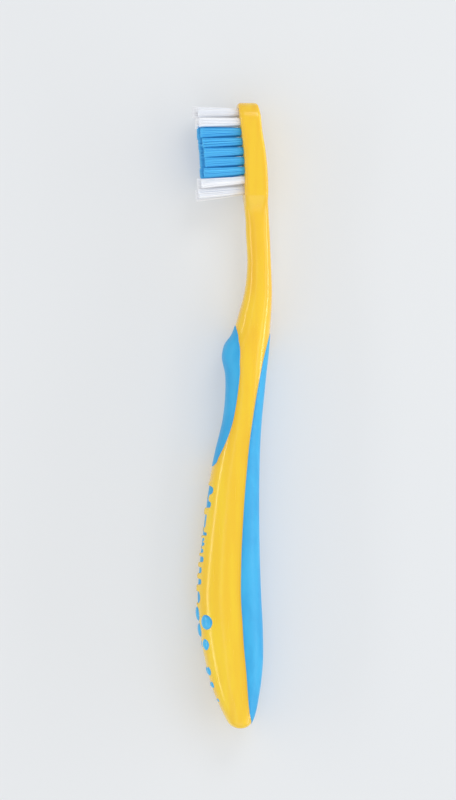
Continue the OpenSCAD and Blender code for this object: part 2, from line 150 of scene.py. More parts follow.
@dataclass(frozen=True)
class Graph:
    """A node tree whose nodes are added by expressions."""

    tree: bpy.types.NodeTree

    @staticmethod
    def pick(sockets: bpy.types.bpy_prop_collection, key: Key) -> bpy.types.NodeSocket:
        """Finds a socket by its place, or the first one in use with that name.

        Args:
            sockets: The inputs or outputs of a node.
            key: A place or a name.

        Returns:
            The socket.
        """
        if isinstance(key, int):
            return sockets[key]
        named = [s for s in sockets if s.name == key]
        return next((s for s in named if s.enabled), named[0])

    def feed(self, target: bpy.types.NodeSocket, value: Input) -> None:
        """Links a socket to an input, or sets the input's own value.

        Args:
            target: The input.
            value: The socket or the value.
        """
        if isinstance(value, Socket):
            self.tree.links.new(value.link, target)
        else:
            target.default_value = value

    def add(
        self,
        kind: str,
        settings: Optional[Mapping[str, object]] = None,
        sockets: Optional[Mapping[Key, Input]] = None,
    ) -> bpy.types.Node:
        """Adds one node.

        Args:
            kind: The node's type.
            settings: Its properties, set first.
            sockets: Values or links for its inputs, by place or name.

        Returns:
            The node.
        """
        node = self.tree.nodes.new(kind)
        for name, value in (settings or {}).items():
            setattr(node, name, value)
        for key, value in (sockets or {}).items():
            self.feed(self.pick(node.inputs, key), value)
        return node

    def node(
        self,
        kind: str,
        settings: Optional[Mapping[str, object]] = None,
        sockets: Optional[Mapping[Key, Input]] = None,
        out: Key = 0,
    ) -> Socket:
        """Adds one node and reads it.

        Args:
            kind: The node's type.
            settings: Its properties, set first.
            sockets: Values or links for its inputs, by place or name.
            out: The output that is returned.

        Returns:
            That output.
        """
        return Socket(self, self.pick(self.add(kind, settings, sockets).outputs, out))

    def number(self, operation: str, *values: Input) -> Socket:
        """One Math node on some values."""
        return self.node(
            "ShaderNodeMath", {"operation": operation}, dict(enumerate(values)))

    def output(self, socket: Socket, out: Key) -> Socket:
        """Another output of the node that a socket belongs to."""
        return Socket(self, self.pick(socket.link.node.outputs, out))

    def mix(self, factor: Input, a: Input, b: Input) -> Socket:
        """Mixes two colours.

        Args:
            factor: The share of the second colour.
            a: The first colour.
            b: The second colour.

        Returns:
            The mixed colour.
        """
        return self.node(
            "ShaderNodeMix", {"data_type": "RGBA"}, {"Factor": factor, "A": a, "B": b},
            "Result")

    def ease(
        self, value: Input, low: float, high: float, a: float = 0.0, b: float = 1.0,
    ) -> Socket:
        """Maps a range smoothly onto another.

        Args:
            value: The value to map.
            low, high: The range that it is read over.
            a, b: The values at the two ends.

        Returns:
            The mapped value.
        """
        return self.node(
            "ShaderNodeMapRange", {"interpolation_type": "SMOOTHSTEP"},
            {"Value": value, "From Min": low, "From Max": high, "To Min": a, "To Max": b})

    def straight_view(self) -> Socket:
        """Tells what a camera sees, straight, mirrored or through a piece, from other light.

        Returns:
            One for a ray of the camera's view, and zero for the others.
        """
        straight = self.node("ShaderNodeLightPath", out="Is Camera Ray")
        mirrored = self.output(straight, "Is Glossy Ray")
        through = self.output(straight, "Is Transmission Ray")
        return (straight + mirrored + through).clamped()


@dataclass(frozen=True)
class Grain:
    """A noise pattern: the size of a patch in millimetres, the finer layers that lie on it,
    and the shares by which it is drawn out along each axis."""

    size: float
    detail: float = 2.0
    stretch: tuple[float, float, float] = (1, 1, 1)


@dataclass(frozen=True)
class Finish:
    """What every finish shares: a named material, and noise and relief for its shader."""

    name: str

    def material(self) -> bpy.types.Material:
        """Builds the material.

        Returns:
            The material, with the finish's own shader on its surface.
        """
        material = bpy.data.materials.new(self.name)
        material.use_nodes = True
        material.node_tree.nodes.clear()
        graph = Graph(material.node_tree)
        graph.add("ShaderNodeOutputMaterial", {}, {"Surface": self.shader(graph)})
        return material

    def shader(self, graph: Graph) -> Socket:
        """The shader, which each finish builds in its own way."""
        raise NotImplementedError

    @staticmethod
    def noise(graph: Graph, grain: Grain) -> Socket:
        """Noise on the object's own coordinates.

        Args:
            graph: The graph that it is added to.
            grain: Its size, detail and stretch.

        Returns:
            The noise, from about 0.3 to 0.7.
        """
        place = graph.node("ShaderNodeTexCoord", out="Object")
        scale = tuple(1 / (grain.size * MM * s) for s in grain.stretch)
        mapped = graph.node(
            "ShaderNodeMapping", {"vector_type": "POINT"}, {"Vector": place, "Scale": scale})
        return graph.node(
            "ShaderNodeTexNoise", {},
            {"Vector": mapped, "Scale": 1.0, "Detail": grain.detail, "Roughness": 0.55})

    @staticmethod
    def carried(graph: Graph, name: str) -> Socket:
        """A number that the mesh carries for each point."""
        return graph.node("ShaderNodeAttribute", {"attribute_name": name}, out="Fac")

    @staticmethod
    def relief(graph: Graph, height: Socket, strength: float, depth: float) -> Socket:
        """The normal of a fine relief, whose full height is a depth in millimetres."""
        return graph.node(
            "ShaderNodeBump", {}, {"Strength": strength, "Distance": depth * MM, "Height": height})


@dataclass(frozen=True)
class MouldedPlastic(Finish):
    """Glossy injection-moulded plastic with faint flow marks and handling scratches, and painted
    shade by the pads' edges, in the recess and round the countersinks.
    """

    colour: Colour
    deep: Colour
    # The darker colour of the painted shade by the pads' edges, in the recess and round the
    # countersinks
    painted_shade: Colour
    roughness: float = 0.22
    flow: Grain = Grain(2.6, 1.5, (1, 16, 1))
    cloud: Grain = Grain(4.0, 2.0, (1, 2, 1))
    scratch: Grain = Grain(0.35, 2.0, (1, 18, 1))
    skin: Grain = Grain(0.9)
    # How much of the tone comes from the flow marks, and of the relief from the scratches
    flow_share: float = 0.75
    scratch_share: float = 0.2
    # How far the tone and the run towards the head go to the deep colour
    tone_share: float = 0.6
    warm_share: float = 0.45
    # Painted shade: how far the colour goes to the darker shade colour at the edges of the pads,
    # and in the recess and round the countersinks
    edge_shade_share: float = 0.55
    shade_share: float = 0.3
    # The stretch of noise over which the tone turns, and the scratches come in
    tone_span: Span = (0.36, 0.64)
    scratch_span: Span = (0.52, 0.74)
    # The places between which the colour deepens, from the middle of the brush
    warm_span: Span = (-30.0, 50.0)
    wear: float = 0.06
    relief_strength: float = 0.07
    relief_depth: float = 0.02

    def shader(self, graph: Graph) -> Socket:
        """Builds the shader.

        Args:
            graph: The graph that it is added to.

        Returns:
            The shader.
        """
        flow, cloud, scratch, skin = (
            self.noise(graph, g) for g in (self.flow, self.cloud, self.scratch, self.skin))
        tone = flow * self.flow_share + cloud * (1 - self.flow_share)
        tint = graph.ease(tone, *self.tone_span) * self.tone_share
        place = graph.node("ShaderNodeTexCoord", out="Object")
        along = graph.node("ShaderNodeSeparateXYZ", {}, {0: place}, "Y")
        low, high = self.warm_span
        warm = graph.ease(along, low * MM, high * MM, 0.0, self.warm_share)
        toned = graph.mix((tint + warm).clamped(), self.colour, self.deep)
        # Painted shade: darker near the pads' edges, in the recess and round the countersinks
        edge = self.carried(graph, "painted_shade") * self.edge_shade_share
        shade = self.carried(graph, "shade") * self.shade_share
        colour = graph.mix((edge + shade).clamped(), toned, self.painted_shade)
        worn = graph.ease(scratch, *self.scratch_span, 0.0, self.wear) + cloud * self.wear
        height = skin * (1 - self.scratch_share) + scratch * self.scratch_share
        return graph.node("ShaderNodeBsdfPrincipled", {}, {
            "Base Color": colour, "Roughness": worn + (self.roughness - self.wear / 2),
            "Normal": self.relief(graph, height, self.relief_strength, self.relief_depth),
            "IOR": 1.49, "Coat Weight": 0.45, "Coat Roughness": 0.2,
        })


@dataclass(frozen=True)
class SoftRubber(Finish):
    """Satin overmoulded rubber with a fine eroded grain, and painted shade along the rim of each
    piece.
    """

    colour: Colour
    deep: Colour
    roughness: float = 0.42
    coat: float = 0.0
    cloud: Grain = Grain(5.0, 3.0, (1, 2, 1))
    eroded: Grain = Grain(0.14, 1.0)
    dust: Grain = Grain(1.6, 4.0)
    # How far the tone, and the painted shade along the rim of a piece, go to the deep colour
    tone_share: float = 0.35
    rim_shade_share: float = 0.4
    # The stretch of noise over which the tone turns, and the dust comes in
    tone_span: Span = (0.36, 0.64)
    dust_span: Span = (0.4, 0.7)
    dust_wear: float = 0.08
    grain_wear: float = 0.06
    relief_strength: float = 0.2
    relief_depth: float = 0.02

    def shader(self, graph: Graph) -> Socket:
        """Builds the shader.

        Args:
            graph: The graph that it is added to.

        Returns:
            The shader.
        """
        cloud, eroded, dust = (
            self.noise(graph, g) for g in (self.cloud, self.eroded, self.dust))
        tint = graph.ease(cloud, *self.tone_span) * self.tone_share
        # Painted shade: the rim of each piece goes darker
        colour = graph.mix(
            tint + self.carried(graph, "rim") * self.rim_shade_share, self.colour, self.deep)
        worn = graph.ease(dust, *self.dust_span, 0.0, self.dust_wear) + eroded * self.grain_wear
        return graph.node("ShaderNodeBsdfPrincipled", {}, {
            "Base Color": colour, "Roughness": worn + (self.roughness - self.grain_wear / 2),
            "Normal": self.relief(graph, eroded, self.relief_strength, self.relief_depth),
            "IOR": 1.5, "Specular IOR Level": 0.35,
            "Coat Weight": self.coat, "Coat Roughness": 0.1,
        })


@dataclass(frozen=True)
class Nylon(Finish):
    """Bristle nylon: each strand has its own tone, the strands glow a little with painted light,
    and painted shade deepens the tone towards the root."""

    colour: Colour
    deep: Colour
    # The colour of the painted shade towards the roots
    root: Colour
    roughness: float = 0.34
    tone_wear: float = 0.12
    # Painted glow: the strands give off a little light of their own colour
    glow: float = 0.12
    streak: Grain = Grain(0.3, 1.0, (12, 1, 1))
    # How far a strand's own tone, its streaks and the painted shade deep inside the tuft go to the
    # deep colour
    tone_share: float = 0.5
    streak_share: float = 0.3
    depth_shade_share: float = 0.2
    # Painted shade towards the root: the run of a strand over which the root colour fades, and its
    # share at both ends, in every tuft and again in the inner tufts
    root_shade_fade: tuple[float, float, float, float] = (0.02, 0.3, 0.75, 0.0)
    inner_shade_fade: tuple[float, float, float, float] = (0.1, 0.95, 0.8, 0.1)

    def shader(self, graph: Graph) -> Socket:
        """Builds the shader.

        Args:
            graph: The graph that it is added to.

        Returns:
            The shader.
        """
        tone, run, depth, inner = (
            self.carried(graph, name) for name in ("tone", "run", "depth", "inner"))
        streak = self.noise(graph, self.streak) * self.streak_share
        toned = graph.mix(
            (tone * self.tone_share + streak + depth * self.depth_shade_share).clamped(),
            self.colour, self.deep)
        # Painted shade towards the root, deeper in the inner tufts
        low = graph.ease(run, *self.root_shade_fade) + inner * graph.ease(run, *self.inner_shade_fade)
        colour = graph.mix(low.clamped(), toned, self.root)
        return graph.node("ShaderNodeBsdfPrincipled", {}, {
            "Base Color": colour, "Roughness": tone * self.tone_wear + self.roughness,
            # Painted glow of the strands' own colour
            "IOR": 1.53, "Emission Color": colour, "Emission Strength": self.glow,
        })


@dataclass(frozen=True)
class DrawnWire(Finish):
    """Flat drawn metal wire, with fine lines along it."""

    colour: Colour
    deep: Colour
    roughness: float = 0.22
    line_wear: float = 0.2
    drawn: Grain = Grain(0.12, 2.0, (1, 1, 10))
    tone_span: Span = (0.35, 0.65)
    relief_strength: float = 0.15
    relief_depth: float = 0.01

    def shader(self, graph: Graph) -> Socket:
        """Builds the shader.

        Args:
            graph: The graph that it is added to.

        Returns:
            The shader.
        """
        lines = self.noise(graph, self.drawn)
        colour = graph.mix(graph.ease(lines, *self.tone_span), self.colour, self.deep)
        return graph.node("ShaderNodeBsdfPrincipled", {}, {
            "Base Color": colour, "Metallic": 1.0,
            "Roughness": lines * self.line_wear + self.roughness,
            "Normal": self.relief(graph, lines, self.relief_strength, self.relief_depth),
        })


@dataclass(frozen=True)
class PaleFloor(Finish):
    """A pale matt floor that a camera sees nearly white, with the object's shadow on it."""

    colour: Colour = (0.72, 0.75, 0.78, 1.0)
    deep: Colour = (0.7, 0.72, 0.75, 1.0)
    cloud: Grain = Grain(60.0)
    cloud_share: float = 0.06
    lift: float = 0.3

    def shader(self, graph: Graph) -> Socket:
        """Builds the shader.

        Args:
            graph: The graph that it is added to.

        Returns:
            The shader.
        """
        tint = graph.mix(
            self.noise(graph, self.cloud) * self.cloud_share, self.colour, self.deep)
        matt = graph.node("ShaderNodeBsdfDiffuse", {}, {"Color": tint})
        glow = graph.node("ShaderNodeEmission", {}, {"Color": WHITE_LIGHT, "Strength": 1.0})
        share = graph.straight_view() * self.lift
        return graph.node("ShaderNodeMixShader", {}, {0: share, 1: matt, 2: glow})


# Meshes


def face_outwards(mesh: bpy.types.Mesh) -> None:
    """Turns the faces of a closed mesh outwards and shades them smooth.

    Args:
        mesh: The mesh.
    """
    mesh.update()
    points = np.empty(len(mesh.vertices) * 3)
    mesh.vertices.foreach_get("co", points)
    points = points.reshape(-1, 3)
    mesh.calc_loop_triangles()
    tris = np.empty(len(mesh.loop_triangles) * 3, int)
    mesh.loop_triangles.foreach_get("vertices", tris)
    a, b, c = (points[tris.reshape(-1, 3)[:, k]] for k in range(3))
    if np.einsum("ij,ij->", a, np.cross(b, c)) < 0:
        mesh.flip_normals()
    mesh.polygons.foreach_set("use_smooth", np.ones(len(mesh.polygons), bool))


def grid_faces(rows: int, columns: int, first: int = 0, closed: bool = False) -> list[list[int]]:
    """Quads of a grid of points.

    Args:
        rows, columns: How many points it has each way.
        first: The number of its first point.
        closed: Whether each row joins up into a ring.

    Returns:
        The quads.
    """
    k, i = np.meshgrid(
        np.arange(rows - 1), np.arange(columns if closed else columns - 1), indexing="ij")
    j = (i + 1) % columns
    quads = np.stack([k * columns + i, k * columns + j,
                      (k + 1) * columns + j, (k + 1) * columns + i], axis=-1)
    return (quads.reshape(-1, 4) + first).tolist()


def shell_faces(rows: int, columns: int) -> list[list[int]]:
    """Faces of a closed shell between two grids of the same size, the outer grid first.

    Args:
        rows, columns: How many points each grid has each way.

    Returns:
        The faces.
    """
    count = rows * columns
    under = [f[::-1] for f in grid_faces(rows, columns, count)]
    rim = [k * columns for k in range(rows)]
    rim += [(rows - 1) * columns + i for i in range(1, columns)]
    rim += [k * columns + columns - 1 for k in range(rows - 2, -1, -1)]
    rim += list(range(columns - 2, 0, -1))
    wall = [[a, a + count, b + count, b] for a, b in zip(rim, rim[1:] + rim[:1])]
    return grid_faces(rows, columns) + under + wall


def fading(away: np.ndarray, reach: float) -> np.ndarray:
    """One up to an edge, and fading to nothing over a reach past it."""
    return np.exp(-np.clip(away, 0, None) / reach)


def eased(share: np.ndarray) -> np.ndarray:
    """A share from 0 to 1, with soft ends."""
    return share * share * (3 - 2 * share)


def path_distance(points: np.ndarray, path: np.ndarray) -> np.ndarray:
    """Shortest distance from each point to a path of straight runs.

    Args:
        points: Flat points, one row each.
        path: The path's corners, one row each.

    Returns:
        The distances.
    """
    best = np.full(len(points), np.inf)
    for start, end in zip(path[:-1], path[1:]):
        run = end - start
        size = float(run @ run)
        if size == 0:
            continue
        share = np.clip((points - start) @ run / size, 0, 1)
        away = points - start - share[:, None] * run
        best = np.minimum(best, np.einsum("ij,ij->i", away, away))
    return np.sqrt(best)


def inside(points: np.ndarray, path: np.ndarray) -> np.ndarray:
    """Tells which points lie inside a closed path.

    Args:
        points: Flat points, one row each.
        path: The path's corners, one row each; the last joins the first.

    Returns:
        True for each point inside.
    """
    hit = np.zeros(len(points), bool)
    for a, b in zip(path, np.roll(path, -1, axis=0)):
        if a[1] == b[1]:
            continue
        crosses = (a[1] > points[:, 1]) != (b[1] > points[:, 1])
        at = a[0] + (points[:, 1] - a[1]) / (b[1] - a[1]) * (b[0] - a[0])
        hit ^= crosses & (points[:, 0] < at)
    return hit


def smooth_curve(table: np.ndarray, x: np.ndarray, column: int = 1) -> np.ndarray:
    """Cubic curve through the knots of a table.

    Args:
        table: Rows that start with the place of a knot.
        x: The places that are read.
        column: The column that is read.

    Returns:
        The values at those places.
    """
    t, v = table[:, 0], table[:, column]
    run = np.diff(t)
    secant = np.diff(v) / run
    slope = np.empty_like(v)
    slope[0], slope[-1] = secant[0], secant[-1]
    slope[1:-1] = (secant[:-1] * run[1:] + secant[1:] * run[:-1]) / (run[:-1] + run[1:])
    i = np.clip(np.searchsorted(t, x, side="right") - 1, 0, len(t) - 2)
    u = (x - t[i]) / run[i]
    return (
        (1 + 2 * u) * (1 - u) ** 2 * v[i] + u * (1 - u) ** 2 * run[i] * slope[i]
        + u ** 2 * (3 - 2 * u) * v[i + 1] - u ** 2 * (1 - u) * run[i] * slope[i + 1]
    )


class Pattern:
    """A Geometry Nodes tree with named inputs, which makes plain mesh pieces."""

    def __init__(
        self, name: str, sizes: Sequence[str] = (), places: Sequence[str] = (),
        counts: Sequence[str] = (),
    ) -> None:
        """Starts the tree, whose first input is the mesh that it works on.

        Args:
            name: The tree's name.
            sizes: The names of the inputs that are numbers.
            places: The names of the inputs that are vectors.
            counts: The names of the inputs that are whole numbers.
        """
        self.tree = bpy.data.node_groups.new(name, "GeometryNodeTree")
        self.graph = Graph(self.tree)
        for way in ("OUTPUT", "INPUT"):
            self.tree.interface.new_socket("Mesh", in_out=way, socket_type="NodeSocketGeometry")
        self.keys: dict[str, str] = {}
        kinds = {"Float": sizes, "Vector": places, "Int": counts, "Material": ("Finish",)}
        for kind, labels in kinds.items():
            for label in labels:
                item = self.tree.interface.new_socket(
                    label, in_out="INPUT", socket_type="NodeSocket" + kind)
                self.keys[label] = item.identifier
        self.entry = self.graph.node("NodeGroupInput")

    def given(self, label: str) -> Socket:
        """The value of a named input."""
        return self.graph.output(self.entry, label)

    def read(self, name: str) -> Socket:
        """A number that the mesh carries for each point."""
        return self.graph.node(
            "GeometryNodeInputNamedAttribute", {"data_type": "FLOAT"}, {"Name": name},
            "Attribute")

    def mark(self, mesh: Socket, name: str, value: Socket) -> Socket:
        """A mesh that carries one more number for each point."""
        return self.graph.node(
            "GeometryNodeStoreNamedAttribute", {"data_type": "FLOAT", "domain": "POINT"},
            {"Geometry": mesh, "Name": name, "Value": value})

    def move(self, mesh: Socket, spot: Socket) -> Socket:
        """A mesh with its points at other places."""
        return self.graph.node(
            "GeometryNodeSetPosition", {}, {"Geometry": mesh, "Position": spot})

    def close(self, mesh: Socket) -> None:
        """Ends the tree: shaded smooth, instances made real, and the finish set.

        Args:
            mesh: What the tree has made.
        """
        smooth = self.graph.node("GeometryNodeSetShadeSmooth", {}, {"Geometry": mesh})
        real = self.graph.node("GeometryNodeRealizeInstances", {}, {"Geometry": smooth})
        done = self.graph.node(
            "GeometryNodeSetMaterial", {}, {"Geometry": real, "Material": self.given("Finish")})
        self.graph.add("NodeGroupOutput", {}, {"Mesh": done})

    def make(
        self, name: str, values: Mapping[str, object], start: Optional[bpy.types.Mesh] = None,
    ) -> bpy.types.Object:
        """Makes one plain mesh piece at the origin.

        Args:
            name: The piece's name.
            values: A value for each named input.
            start: The mesh that the tree works on, or none for an empty one.

        Returns:
            The object, without the modifier.
        """
        start = start or bpy.data.meshes.new(name + "_start")
        holder = bpy.data.objects.new(name, start)
        bpy.context.scene.collection.objects.link(holder)
        modifier = holder.modifiers.new("pattern", "NODES")
        modifier.node_group = self.tree
        for label, value in values.items():
            modifier[self.keys[label]] = value
        view = bpy.context.evaluated_depsgraph_get()
        mesh = bpy.data.meshes.new_from_object(
            holder.evaluated_get(view), preserve_all_data_layers=True, depsgraph=view)
        holder.modifiers.remove(modifier)
        holder.data = mesh
        bpy.data.meshes.remove(start)
        mesh.name = name
        return holder


# The brush line


@dataclass(frozen=True)
class Sections:
    """Cross sections: middle, half depth, half width and squareness at some places."""

    mid: np.ndarray
    half_depth: np.ndarray
    half_width: np.ndarray
    power: np.ndarray


@dataclass
class BrushLine:
    """The lengthwise shape of the moulded handle, neck and head."""

    length: float = 160.0
    head_len: float = 24.8
    grip_depth: float = 16.6
    grip_width: float = 14.0
    thumb_depth: float = 12.1
    thumb_width: float = 11.8
    neck_depth: float = 6.15
    neck_width: float = 5.8
    head_depth: float = 6.1
    head_width: float = 11.2
    back_sway: float = 3.3
    head_nod: float = 3.9
    butt_round: float = 1.6
    toe_round: float = 0.8
    toe_len: float = 5.0
    toe_flat_share: float = 0.42
    toe_power: float = 2.2
    clearance: float = 0.003
    origin_samples: int = 3201
    # Place along the handle or the head, back offset, depth and width, as shares of the
    # zone's own sizes
    grip_shares: Sequence[Sequence[float]] = (
        (0, 1.76, 0.29, 0.66), (0.024, 1.37, 0.47, 0.72), (0.062, 1.05, 0.675, 0.80),
        (0.118, 0.775, 0.862, 0.90), (0.190, 0.775, 0.962, 0.98), (0.242, 0.885, 0.982, 1),
        (0.308, 0.985, 0.932, 1), (0.394, 1.045, 0.842, 0.96), (0.474, 1.035, 0.752, 0.90),
        (0.526, 0.985, 0.672, 0.86), (0.583, 0.845, 0.588, 0.83), (0.627, 0.665, 0.583, 0.82),
    )
    thumb_shares: Sequence[Sequence[float]] = (
        (0.668, 0.495, 0.845, 0.99), (0.708, 0.30, 0.966, 1), (0.729, 0.225, 0.92, 0.97),
        (0.744, 0.18, 0.81, 0.92), (0.761, 0.135, 0.748, 0.86), (0.781, 0.07, 0.70, 0.78),
    )
    neck_shares: Sequence[Sequence[float]] = (
        (0.826, 0, 1.15, 1.30), (0.877, 0.07, 1, 1.06), (0.939, 0.18, 1, 1),
        (0.965, 0.25, 0.98, 1.02), (0.985, 0.3, 1.0, 1.27),
    )
    head_shares: Sequence[Sequence[float]] = (
        (0, 0.30, 1.0, 0.88), (0.035, 0.30, 1.01, 0.97), (0.08, 0.305, 1.01, 1),
        (0.14, 0.31, 1.016, 1), (0.31, 0.36, 0.997, 1), (0.515, 0.50, 0.963, 1),
        (0.72, 0.71, 0.925, 1), (0.876, 0.815, 0.916, 1), (1, 1, 0.836, 1),
    )
    # Place along the brush as a share, and the power that makes the section square
    square_shares: Sequence[Sequence[float]] = (
        (0, 2.6), (0.2, 2.5), (0.6, 2.4), (0.8, 2.4), (0.835, 3.2), (0.855, 4.6), (1, 4.6),
    )
    # The same for the skin of the moulding, whose head has crisp edges
    crisp_shares: Sequence[Sequence[float]] = ((0.8, 2.4), (0.835, 3.6), (0.86, 8), (1, 8))
    knots: np.ndarray = field(init=False)
    origin: np.ndarray = field(init=False)
    skin_pattern: Pattern = field(init=False)

    def __post_init__(self) -> None:
        """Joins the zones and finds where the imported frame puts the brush."""
        handle = self.length - self.head_len
        grip, thumb, neck, head = (
            np.array(t, float)
            for t in (self.grip_shares, self.thumb_shares, self.neck_shares, self.head_shares))
        self.knots = np.vstack([
            grip * (handle, self.back_sway, self.grip_depth, self.grip_width),
            thumb * (handle, self.back_sway, self.thumb_depth, self.thumb_width),
            neck * (handle, self.back_sway, self.neck_depth, self.neck_width),
            head * (self.head_len, self.head_nod, self.head_depth, self.head_width)
            + (handle, 0, 0, 0),
        ])
        low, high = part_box("handle_core")
        s = self.at(np.linspace(0, self.length, self.origin_samples))
        self.origin = np.array([
            high.x / MM - (s.mid + s.half_depth).max() - self.clearance, low.y / MM,
            (low.z + high.z) / 2 / MM])
        self.skin_pattern = self.pattern()

    @staticmethod
    def pattern() -> Pattern:
        """Builds the tree that lays a mesh over the skin: each point carries its section and
        its angle round it, and the tree sets it on the rounded square of that section.

        Returns:
            The tree.
        """
        pattern = Pattern("handle_skin", places=("Origin",))
        graph, read = pattern.graph, pattern.read
        turn, power, lift = read("turn"), read("power"), read("lift")
        c, n = turn.math("COSINE"), turn.math("SINE")
        size = (c.math("ABSOLUTE") ** power + n.math("ABSOLUTE") ** power) ** (1.0 / power)
        x = read("mid") + (read("half_depth") + lift) * c / size
        z = (read("half_width") + lift) * n / size
        spot = graph.node("ShaderNodeCombineXYZ", {}, {"X": x, "Y": read("place"), "Z": z})
        spot = spot.vector("ADD", pattern.given("Origin")).scaled(MM)
        pattern.close(pattern.move(pattern.given("Mesh"), spot))
        return pattern

    def cover(
        self,
        name: str,
        place: np.ndarray,
        turn: np.ndarray,
        lift: np.ndarray,
        faces: Sequence[Sequence[int]],
        material: bpy.types.Material,
        values: Mapping[str, np.ndarray],
    ) -> bpy.types.Object:
        """Lays a closed mesh over the skin.

        Args:
            name: The piece's name.
            place: The place along the brush of each point.
            turn: The angle round the section of each point.
            lift: The height over the skin of each point.
            faces: Faces, as rows of point numbers.
            material: The finish.
            values: More numbers for each point, by attribute name.

        Returns:
            The piece, with its faces pointing outwards.
        """
        s = self.at(place)
        place = np.clip(place, self.clearance, self.length - self.clearance)
        start = bpy.data.meshes.new(name + "_start")
        start.from_pydata(
            np.zeros((len(place), 3)).tolist(), [], [list(map(int, f)) for f in faces])
        own = {"place": place, "turn": turn, "lift": lift, "mid": s.mid,
               "half_depth": s.half_depth, "half_width": s.half_width, "power": s.power}
        for key, numbers in {**own, **values}.items():
            layer = start.attributes.new(key, "FLOAT", "POINT")
            layer.data.foreach_set("value", np.ascontiguousarray(numbers, dtype=np.float32))
        piece = self.skin_pattern.make(
            name, {"Origin": list(map(float, self.origin)), "Finish": material}, start)
        for key in own:
            piece.data.attributes.remove(piece.data.attributes[key])
        face_outwards(piece.data)
        return piece

    def crisp(self) -> "BrushLine":
        """The same line with the squarer head of the moulding's outer skin."""
        kept = [s for s in self.square_shares if s[0] < self.crisp_shares[0][0]]
        return replace(self, square_shares=(*kept, *self.crisp_shares))

    def inset(self, y: np.ndarray) -> np.ndarray:
        """How far the rounded ends draw the sections in.

        Args:
            y: Places along the brush.

        Returns:
            The insets.
        """
        butt = np.clip(self.butt_round - y, 0, self.butt_round)
        toe = np.clip(y - self.length + self.toe_round, 0, self.toe_round)
        return (
            self.butt_round - np.sqrt(self.butt_round ** 2 - butt ** 2)
            + self.toe_round - np.sqrt(self.toe_round ** 2 - toe ** 2)
        )

    def at(self, y: np.ndarray) -> Sections:
        """Reads the cross sections at some places.

        Args:
            y: Places along the brush.

        Returns:
            The sections.
        """
        y = np.clip(np.asarray(y, float), 0, self.length)
        back, depth, width = (smooth_curve(self.knots, y, c) for c in (1, 2, 3))
        inset = self.inset(y) + self.clearance
        u = np.clip((y - self.length + self.toe_len) / self.toe_len, 0, 1)
        power = self.toe_power
        toe = (1 - (1 - self.toe_flat_share ** power) * u ** power) ** (1 / power)
        squares = np.array(self.square_shares, float)
        square = np.interp(y / self.length, squares[:, 0], squares[:, 1])
        return Sections(
            -back - depth / 2, depth / 2 - inset, width / 2 * toe - inset, square)

    def skin(self, y: Places, turn: Places, lift: Places = 0.0) -> np.ndarray:
        """Points on the skin, or at a height over it.

        Args:
            y: Places along the brush.
            turn: Angles round the section, from the back line.
            lift: Heights over the skin.

        Returns:
            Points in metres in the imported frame.
        """
        y, turn, lift = np.broadcast_arrays(y, turn, lift)
        s = self.at(y)
        c, n = np.cos(turn), np.sin(turn)
        size = (np.abs(c) ** s.power + np.abs(n) ** s.power) ** (1 / s.power)
        x = s.mid + (s.half_depth + lift) * c / size
        z = (s.half_width + lift) * n / size
        return self.placed(np.stack([x, y, z], axis=-1))

    def front_turn(self, y: np.ndarray, z: np.ndarray, lift: np.ndarray) -> np.ndarray:
        """The angle round the section of a point on the front at a sideways place.

        Args:
            y: Places along the brush.
            z: Sideways places from the middle plane.
            lift: Heights over the skin.

        Returns:
            Angles in radians.
        """
        s = self.at(y)
        share = np.clip(np.abs(z) / (s.half_width + lift), 0, 1)
        turn = np.arctan2(share, (1 - share ** s.power) ** (1 / s.power))
        return math.pi - np.copysign(turn, z)

    def front(self, y: Places, z: Places, lift: Places = 0.0) -> np.ndarray:
        """Points on the front skin at a sideways place.

        Args:
            y: Places along the brush.
            z: Sideways places from the middle plane.
            lift: Heights over the skin.

        Returns:
            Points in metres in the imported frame.
        """
        y, z, lift = np.broadcast_arrays(y, z, lift)
        return self.skin(y, self.front_turn(y, z, lift), lift)

    def placed(self, points: np.ndarray) -> np.ndarray:
        """Millimetres from the butt face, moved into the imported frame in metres."""
        return (points + self.origin) * MM

    def turn_of(self, y: np.ndarray, degrees: np.ndarray) -> np.ndarray:
        """The angle round the section of a pad's edge, whose table counts on the rounder scale
        of the section's own power.

        Args:
            y: Places along the brush.
            degrees: Edge angles, from 0 to 90.

        Returns:
            Angles in radians.
        """
        power = self.at(y).power
        a = np.radians(degrees)
        return np.arctan2(np.sin(a) ** (2 / power), np.cos(a) ** (2 / power))

    def normal(self, y: float, turn: float) -> tuple[Vector, Vector, Vector]:
        """The skin's own directions at a point.

        Args:
            y: Place along the brush.
            turn: Angle round the section.

        Returns:
            Unit vectors across the skin, along it and out of it.
        """
        step, angle = 0.3, math.radians(0.6)
        along = Vector(self.skin(y + step, turn) - self.skin(y - step, turn)).normalized()
        across = Vector(self.skin(y, turn + angle) - self.skin(y, turn - angle)).normalized()
        out = along.cross(across)
        if out.dot(Vector((math.cos(turn), 0, math.sin(turn)))) < 0:
            out = -out
        out.normalize()
        return along.cross(out).normalized(), along, out


# The pieces


